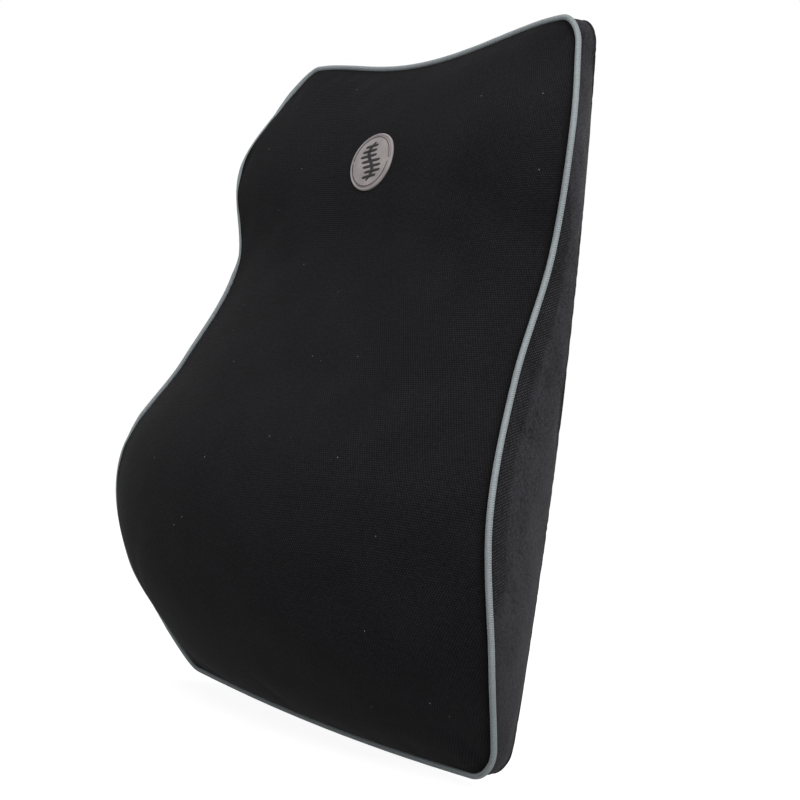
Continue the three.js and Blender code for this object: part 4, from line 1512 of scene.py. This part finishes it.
@dataclass
class Piping:
    """The corded piping in the front seam."""

    shape: CushionShape
    wardrobe: Wardrobe
    radius: float = 0.00178
    lift: float = 0.0008
    tuck: float = 0.0011
    unevenness: float = 0.03
    flange: float = 0.007
    flange_thickness: float = 0.0005
    columns: int = 1200
    sides: int = 14

    def build(self) -> list:
        """Sweeps the piping and its sewn flange round the seam.

        Returns:
            The pieces.
        """
        frames = {}

        def place(a: float, b: float) -> Vector:
            """A point on the tube: a runs along the seam and b round the section."""
            turn = (a + 1) / 2 % 1.0
            if turn not in frames:
                frames[turn] = self.shape.piping_frame(turn, self.lift, self.tuck)
            centre, out, side = frames[turn]
            angle = math.pi * b
            radius = self.radius * (1 + self.unevenness * noise.noise(centre * 130.0))
            return centre + (out * math.cos(angle) + side * math.sin(angle)) * radius

        bm = cloth_grid(self.columns, self.sides, place, towards_back, weld=True)
        bmesh.ops.recalc_face_normals(bm, faces=bm.faces)
        piece = new_piece("seam_piping", bm)
        self.wardrobe.complete(piece, "piping_fabric", "piping_wrap", "piping_cord")

        def inside(a: float, b: float) -> Vector:
            """A point on the sewn flange, which runs from the tube into the seam."""
            centre, out, _ = frames[(a + 1) / 2 % 1.0]
            return centre - out * self.flange * (b + 1) / 2

        bm = cloth_grid(self.columns, 2, inside, lambda _: Vector((0, 0, 1)), weld=True)
        flange = new_piece("piping_flange", bm)
        thicken(flange, self.flange_thickness)
        return [piece, self.wardrobe.complete(flange, "thread")]


# ---------------------------------------------------------------- badge
@dataclass
class Badge:
    """The round leather badge, which follows the face, and the plain mark on it."""

    wardrobe: Wardrobe
    radius: float = 0.0200
    crown: float = 0.0013
    groove_at: float = 0.0182
    groove_depth: float = 0.0006
    steps: int = 96
    probes: int = 12
    lift: float = 0.0001
    bars: int = 7
    bar_reach: float = 0.0092
    bar_taper: float = 0.0075
    bar_thickness: float = 0.0010
    bar_slope: float = 0.0008
    swing: float = 0.0036
    mark_height: float = 0.0270
    mark_width: float = 0.0034
    mark_rise: float = 0.00016
    arc_radius: float = 0.0172
    arc_width: float = 0.0005
    arc_reach: float = 1.5
    place_shift: tuple = (0.0015, 0.0, 0.0025)

    def profile(self) -> list:
        """The section from the middle to the rim, as distance and rise.

        Returns:
            Points for the spin.
        """
        top, at, deep = self.crown, self.groove_at, self.groove_depth
        points = [(at * i / 12, top) for i in range(12)]
        for out, drop in ((-0.0004, 0.0), (-0.00015, deep), (0.00025, deep), (0.0005, 0.0)):
            points.append((at + out, top - drop))
        for inset, drop in ((0.0006, 0.00004), (0.0002, 0.0003), (0.0, 0.0007), (0.0, top + 0.0003)):
            points.append((self.radius - inset, top - drop))
        return points

    def lay(self, piece: bpy.types.Object, face: BVHTree, centre: Vector) -> None:
        """Bends a piece drawn flat in X and Z, with its rise in Y, onto the face.

        Args:
            piece: the flat piece.
            face: the padded face.
            centre: where the badge's middle goes.
        """
        ahead = Vector((0, 1, 0))
        stand = centre - ahead * 0.2
        steady = Vector((0, 0, 0))
        for i in range(self.probes):
            angle = i / self.probes * 2 * math.pi
            start = stand + Vector((math.cos(angle), 0.0, math.sin(angle))) * self.radius
            steady += face.ray_cast(start, ahead)[1]
        steady.normalize()
        down = math.sqrt(max(0.1, 1 - steady.z**2))
        for vert in piece.data.vertices:
            start = stand + Vector((vert.co.x, 0.0, vert.co.z * down))
            vert.co = face.ray_cast(start, ahead)[0] + steady * (vert.co.y + self.lift)
        piece.data.update()

    def build(self, cover: bpy.types.Object) -> list:
        """Builds the disc and its mark.

        Args:
            cover: the finished face.

        Returns:
            The pieces.
        """
        low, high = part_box("badge_disc")
        centre = (low + high) / 2 + Vector(self.place_shift)
        face = BVHTree.FromObject(cover, bpy.context.evaluated_depsgraph_get())
        bm = bmesh.new()
        verts = [bm.verts.new((distance, rise, 0.0)) for distance, rise in self.profile()]
        edges = [bm.edges.new(pair) for pair in zip(verts, verts[1:])]
        bmesh.ops.spin(bm, geom=verts + edges, cent=(0, 0, 0), axis=(0, 1, 0), angle=2 * math.pi,
                       steps=self.steps, use_merge=True)
        bmesh.ops.remove_doubles(bm, verts=bm.verts, dist=1e-6)
        close_up(bm)
        made = []
        for name, mesh, slot, node in (
            ("badge_leather_disc", bm, "badge_leather", "badge_disc"),
            ("badge_mark", self.mark(), "emblem_print", "badge_emblem"),
        ):
            piece = new_piece(name, mesh)
            self.lay(piece, face, centre)
            made.append(self.wardrobe.complete(piece, slot, node))
        return made

    def mark(self) -> bmesh.types.BMesh:
        """A plain curved stroke with short bars across it, like a spine seen from the side.

        Returns:
            The flat mesh, to be laid on the disc.
        """
        bm = bmesh.new()
        base = self.crown - 0.0002
        top = self.crown + self.mark_rise

        def middle(share: float) -> float:
            """How far the stroke swings out at a share of its height."""
            return self.swing * math.sin(2 * math.pi * share)

        def add_block(columns: int, rows: int, place: Place) -> None:
            """Adds a thin raised shape drawn by a function over a square."""
            made = bmesh.ops.create_grid(bm, x_segments=columns, y_segments=rows, size=1.0)["verts"]
            for vert in made:
                vert.co = place(vert.co.x, vert.co.y)
            faces = list({face for vert in made for face in vert.link_faces})
            for item in bmesh.ops.extrude_face_region(bm, geom=faces)["geom"]:
                if isinstance(item, bmesh.types.BMVert):
                    item.co.y = top

        def stroke(a: float, b: float) -> Vector:
            """The spine's own line, which narrows to both ends."""
            share = (b + 1) / 2
            half = self.mark_width / 2 * math.sqrt(max(0.04, 1 - 0.75 * b * b))
            return Vector((middle(share) + a * half, base, b * self.mark_height / 2))

        add_block(4, 40, stroke)
        for side in (-1, 1):

            def arc(a: float, b: float) -> Vector:
                """Half of the thin ring round the mark."""
                angle = side * math.pi / 2 + a * self.arc_reach
                distance = self.arc_radius + b * self.arc_width / 2
                return Vector((math.cos(angle) * distance, base, math.sin(angle) * distance))

            add_block(60, 1, arc)
        for number in range(self.bars):
            share = (number + 0.8) / (self.bars + 0.6)
            reach = self.bar_reach - self.bar_taper * abs(share - 0.45)
            height = (share - 0.5) * self.mark_height
            shift = 0.00036 if number % 2 else -0.00036

            def bar(a: float, b: float) -> Vector:
                """One short bar with round ends."""
                rise = b * self.bar_thickness * math.sqrt(max(0.05, 1 - a**6)) + self.bar_slope * a
                return Vector((middle(share) + shift + a * reach, base, height + rise))

            add_block(16, 2, bar)
        bmesh.ops.recalc_face_normals(bm, faces=bm.faces)
        return bm


# ---------------------------------------------------------------- zip
@dataclass
class ZipFastener:
    """The zip across the back: tapes, coils, slider, pull and end patches."""

    wardrobe: Wardrobe
    pitch: float = 0.00150
    wire: float = 0.00034
    coil_depth: float = 0.00062
    coil_width: float = 0.00105
    coil_shift: float = 0.0004
    patch_margin: float = 0.0004
    patch_height: float = 0.0022
    patch_drop: float = 0.0016

    def coil(self, name: str, node: str, side: int) -> bpy.types.Object:
        """Winds one coil of teeth.

        Args:
            name: the piece's name.
            node: the solid it stands for.
            side: 1 for the upper coil and -1 for the lower one.

        Returns:
            The piece.
        """
        low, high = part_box(node)
        length = high.x - low.x
        turns = round(length / self.pitch)
        centre = (low + high) / 2
        shift = 0.5 if side > 0 else 0.0

        def place(a: float, b: float) -> Vector:
            """A point on the wire: a runs along the coil and b round the wire."""
            share = (a + 1) / 2
            angle = 2 * math.pi * (turns * share + shift)
            wide = Vector((0.0, math.sin(angle) * self.coil_depth, math.cos(angle) * self.coil_width))
            spot = Vector((low.x + length * share, centre.y, centre.z - side * self.coil_shift)) + wide
            way = wide.normalized()
            turn = math.pi * b
            return spot + (way * math.cos(turn) + Vector((1, 0, 0)) * math.sin(turn)) * self.wire

        bm = cloth_grid(turns * 8, 5, place, towards_back, weld=True)
        close_up(bm)
        return self.wardrobe.complete(new_piece(name, bm), "zip_coil", node)

    def patch(self, name: str, node: str, side: int) -> bpy.types.Object:
        """The folded patch that closes one end of the zip.

        Args:
            name: the piece's name.
            node: the solid it stands for.
            side: 1 for the right end and -1 for the left one.

        Returns:
            The piece.
        """
        low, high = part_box(node)
        floor, ceiling = zip_gap()
        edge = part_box("back_panel_lower")[1].x - self.patch_margin
        inner = min(abs(low.x), abs(high.x))
        middle, half = (inner + edge) / 2, (edge - inner) / 2

        def place(a: float, b: float) -> Vector:
            """The patch's crowned outer face."""
            puff = (1 - abs(a) ** 6) * (1 - abs(b) ** 6)
            z = (floor + ceiling) / 2 + b * ((ceiling - floor) / 2 - 0.0003)
            return Vector((side * (middle + a * half), self.patch_height * puff - self.patch_drop, z))

        piece = new_piece(name, cloth_grid(24, 18, place, towards_back))
        thicken(piece, 0.0006)
        return self.wardrobe.complete(piece, "gusset_fabric", node)

    def build(self) -> list:
        """Builds the zip.

        Returns:
            The pieces.
        """
        made = [
            self.coil("zip_teeth_upper", "zip_coil_upper", 1),
            self.coil("zip_teeth_lower", "zip_coil_lower", -1),
            self.patch("zip_patch_right", "zip_end_tab_right", 1),
            self.patch("zip_patch_left", "zip_end_tab_left", -1),
        ]
        for part in ("tape_upper", "tape_lower", "stop_right", "stop_left"):
            slot = "zip_tape" if "tape" in part else "zip_metal"
            self.wardrobe.dress(bpy.data.objects[f"zip_{part}"], slot)
        for node, width in (("zip_slider", 0.00028), ("zip_pull", 0.00025)):
            piece = softened_copy(node, f"{node}_rounded", width)
            made.append(self.wardrobe.complete(piece, "zip_metal", body=node))
        return made


# ---------------------------------------------------------------- strap and buckle
@dataclass
class StrapAndBuckle:
    """The elastic strap across the back with its buckle and length adjuster."""

    wardrobe: Wardrobe
    step: float = 0.005
    thread: float = 0.00024
    zigzags: int = 26

    def webbing(self, node: str, name: str) -> bpy.types.Object:
        """A strap with soft edges, cut across every few millimetres.

        Args:
            node: the strap's solid.
            name: the piece's name.

        Returns:
            The piece.
        """
        piece = softened_copy(node, name, 0.0004, segments=2, sharp=50.0)
        bm = bmesh.new()
        bm.from_mesh(piece.data)
        low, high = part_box(node)
        for number in range(1, int((high.x - low.x) / self.step)):
            spot = (low.x + number * self.step, 0.0, 0.0)
            geometry = [*bm.verts, *bm.edges, *bm.faces]
            bmesh.ops.bisect_plane(bm, geom=geometry, plane_co=spot, plane_no=(1, 0, 0), dist=1e-6)
        bm.to_mesh(piece.data)
        bm.free()
        shade_by_angle(piece)
        self.wardrobe.dress(piece, "webbing")
        return piece

    def box_stitch(self, node: str, name: str) -> bpy.types.Object:
        """The dense zigzag that sews one strap end down.

        Args:
            node: the bar's solid.
            name: the piece's name.

        Returns:
            The piece.
        """
        low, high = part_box(node)
        bm = bmesh.new()
        tall = (high.z - low.z) / self.zigzags
        top = low.y + 0.0001
        ends = []
        for number in range(self.zigzags):
            z = low.z + number * tall
            left, right = Vector((low.x, top, z)), Vector((high.x, top, z + tall / 2))
            ends += [(left, right), (right, Vector((low.x, top, z + tall)))]
        add_threads(bm, ends, self.thread)
        return self.wardrobe.complete(new_piece(name, bm), "thread", node)

    def build(self) -> list:
        """Builds the strap, buckle and adjuster.

        Returns:
            The pieces.
        """
        made = [self.webbing("strap_left", "strap_webbing_left")]
        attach(made[0], BODY)
        moving = self.webbing("strap_right", "strap_webbing_right")
        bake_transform(moving)
        made.append(moving)
        moulded = ("buckle_female", "buckle_male", "buckle_arm_upper", "buckle_arm_lower", "strap_adjuster")
        for node in moulded:
            body = BODY if node == "buckle_female" else node
            piece = softened_copy(node, f"{node}_moulded", 0.00055, segments=3)
            made.append(self.wardrobe.complete(piece, "buckle_plastic", body=body))
        made += [self.box_stitch(f"bartack_{side}", f"strap_stitching_{side}") for side in ("left", "right")]
        return made


@dataclass
class CareLabel:
    """The blank woven label sewn by the zip."""

    wardrobe: Wardrobe
    curl: float = 0.0003
    pitch: float = 0.0026
    stitch_length: float = 0.0019
    stitch_inset: float = 0.0018
    thread: float = 0.0002

    def build(self) -> list:
        """Builds the label and the stitches along its top.

        Returns:
            The pieces.
        """
        low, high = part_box("care_label")
        middle, half = (low + high) / 2, (high - low) / 2

        def place(a: float, b: float) -> Vector:
            """The label, whose free end lifts a little."""
            lift = self.curl * (1 - b) / 2 * (1 + 0.4 * math.sin(2.2 * a))
            return Vector((middle.x + a * half.x, low.y + 0.0004 + lift, middle.z + b * half.z))

        label = new_piece("care_label_blank", cloth_grid(24, 32, place, towards_back))
        thicken(label, 0.0004)
        self.wardrobe.complete(label, "label_tape", "care_label")
        bm = bmesh.new()
        count = int(2 * half.x / self.pitch)
        y, z = low.y + 0.0005, high.z - self.stitch_inset
        starts = [Vector((low.x + (i + 0.2) * self.pitch, y, z)) for i in range(count)]
        add_stitches(bm, starts, self.stitch_length, self.thread)
        return [label, self.wardrobe.complete(new_piece("care_label_stitching", bm), "thread")]


# ---------------------------------------------------------------- studio
@dataclass
class Studio:
    """The pale floor, the soft lights and the camera.

    Each light has its place, its width in metres and its power in watts.
    """

    azimuth: float = math.radians(50.53)
    elevation: float = math.radians(-4.23)
    distance: float = 0.850
    target: tuple = (0.0, -0.028, 0.166)
    pan: float = math.radians(1.83)
    tilt: float = math.radians(-0.90)
    roll: float = math.radians(9.01)
    lens: float = 58.46
    sensor: float = 36.0
    ambient: float = 0.48
    floor_glow: float = 0.33
    floor_seen: float = 0.92
    shift: float = 0.0056
    floor_colour: tuple = (0.25, 0.25, 0.25, 1.0)
    lights: tuple = (
        ("side_softbox", (1.05, -0.40, 0.75), 0.6, 9.0),
        ("top_softbox", (-0.2, -0.7, 1.3), 0.8, 5.0),
        ("rear_softbox", (-0.9, 1.6, 1.0), 1.0, 12.0),
    )

    @staticmethod
    def turned(first: Vector, second: Vector, angle: float) -> tuple:
        """Turns two square axes, the first towards the second."""
        cos, sin = math.cos(angle), math.sin(angle)
        return first * cos + second * sin, second * cos - first * sin

    def camera(self) -> None:
        """Sets the camera at its standpoint."""
        cos, sin = math.cos, math.sin
        level = cos(self.elevation)
        back = Vector((sin(self.azimuth) * level, -cos(self.azimuth) * level, sin(self.elevation)))
        ahead = -back
        right = ahead.cross(Vector((0, 0, 1))).normalized()
        up = right.cross(ahead)
        ahead, right = self.turned(ahead, right, self.pan)
        ahead, up = self.turned(ahead, up, self.tilt)
        right, up = self.turned(right, up, self.roll)
        data = bpy.data.cameras.new("camera")
        data.lens, data.sensor_width = self.lens, self.sensor
        data.clip_start, data.clip_end = 0.01, 100.0
        data.shift_y = self.shift
        made = bpy.data.objects.new("camera", data)
        turn = Matrix((right, up, -ahead)).transposed().to_4x4()
        made.matrix_world = Matrix.Translation(Vector(self.target) + back * self.distance) @ turn
        bpy.context.scene.collection.objects.link(made)
        bpy.context.scene.camera = made

    def light(self, name: str, place: Sequence[float], size: float, power: float) -> None:
        """Adds a softbox that faces the cushion.

        Args:
            name: its name.
            place: where it stands.
            size: its width.
            power: in watts.
        """
        data = bpy.data.lights.new(name, "AREA")
        data.shape = "SQUARE"
        data.size, data.energy = size, power
        made = bpy.data.objects.new(name, data)
        made.visible_camera = False
        way = Vector(self.target) - Vector(place)
        made.matrix_world = Matrix.Translation(place) @ way.to_track_quat("-Z", "Y").to_matrix().to_4x4()
        bpy.context.scene.collection.objects.link(made)

    def build(self, floor_height: float) -> None:
        """Builds the studio.

        Args:
            floor_height: where the floor lies.
        """
        bm = bmesh.new()
        place = Matrix.Translation((0, 0, floor_height))
        bmesh.ops.create_grid(bm, x_segments=4, y_segments=4, size=30.0, matrix=place)
        floor = new_piece("floor", bm)
        surface = Surface(bpy.data.materials.new("pale_floor"), Coordinates.OBJECT)
        surface.put("Base Color", self.floor_colour)
        surface.put("Roughness", 0.9)
        surface.put("Specular IOR Level", 0.1)
        surface.put("Emission Color", WHITE)
        surface.put("Emission Strength", self.seen_or_lit(surface, self.floor_seen, self.floor_glow))
        floor.data.materials.append(surface.material)
        floor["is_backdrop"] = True
        world = bpy.data.worlds.new("studio")
        world.use_nodes = True
        wires = Wiring(world.node_tree)
        background = wires.find("BACKGROUND")
        background.inputs["Color"].default_value = WHITE
        wires.feed(background.inputs["Strength"], self.seen_or_lit(wires, 1.0, self.ambient))
        bpy.context.scene.world = world
        bpy.context.scene.view_settings.view_transform = "Standard"
        for light in self.lights:
            self.light(*light)
        self.camera()

    @staticmethod
    def seen_or_lit(wires: Wiring, seen: float, lit: float) -> bpy.types.NodeSocket:
        """A brightness that differs for the camera and for the objects.

        Args:
            wires: the tree's wiring.
            seen: the brightness that the camera sees.
            lit: the brightness that lights the objects.

        Returns:
            Its socket.
        """
        path = wires.node("ShaderNodeLightPath").outputs["Is Camera Ray"]
        return wires.math("MULTIPLY_ADD", path, seen - lit, lit)


# ---------------------------------------------------------------- main
def main() -> None:
    """Builds the cushion on its frame and reports each piece."""
    logging.basicConfig(level=logging.INFO, format="%(name)s: %(message)s")
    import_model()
    frame_box = [list(corner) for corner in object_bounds()]
    wardrobe = Wardrobe()
    shape = CushionShape(base=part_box("side_gusset")[0].z + GUSSET_MARGIN)
    turns = [i / SEAM_POINTS for i in range(SEAM_POINTS)]
    seam = SeamLine([shape.seam(turn) for turn in turns], roll=0.0017, pucker=0.00012)
    rear_points = [shape.rear_edge(turn) for turn in turns]
    rear_seam = SeamLine(rear_points, roll=0.0010, pucker=0.00008, reach=0.008, seed=7.0)
    Studio().build(frame_box[0][2])
    front = FrontCover(shape, wardrobe).build(seam)
    made = [front, SideBand(shape, wardrobe).build(seam, rear_seam)]
    made += BackCover(shape, wardrobe).build(rear_seam)
    made += Piping(shape, wardrobe).build()
    made += Badge(wardrobe).build(front)
    made += ZipFastener(wardrobe).build()
    made += StrapAndBuckle(wardrobe).build()
    made += CareLabel(wardrobe).build()
    for piece in made:
        log.info("%s: %d faces", piece.name, len(piece.data.polygons))


if __name__ == "__main__":
    main()
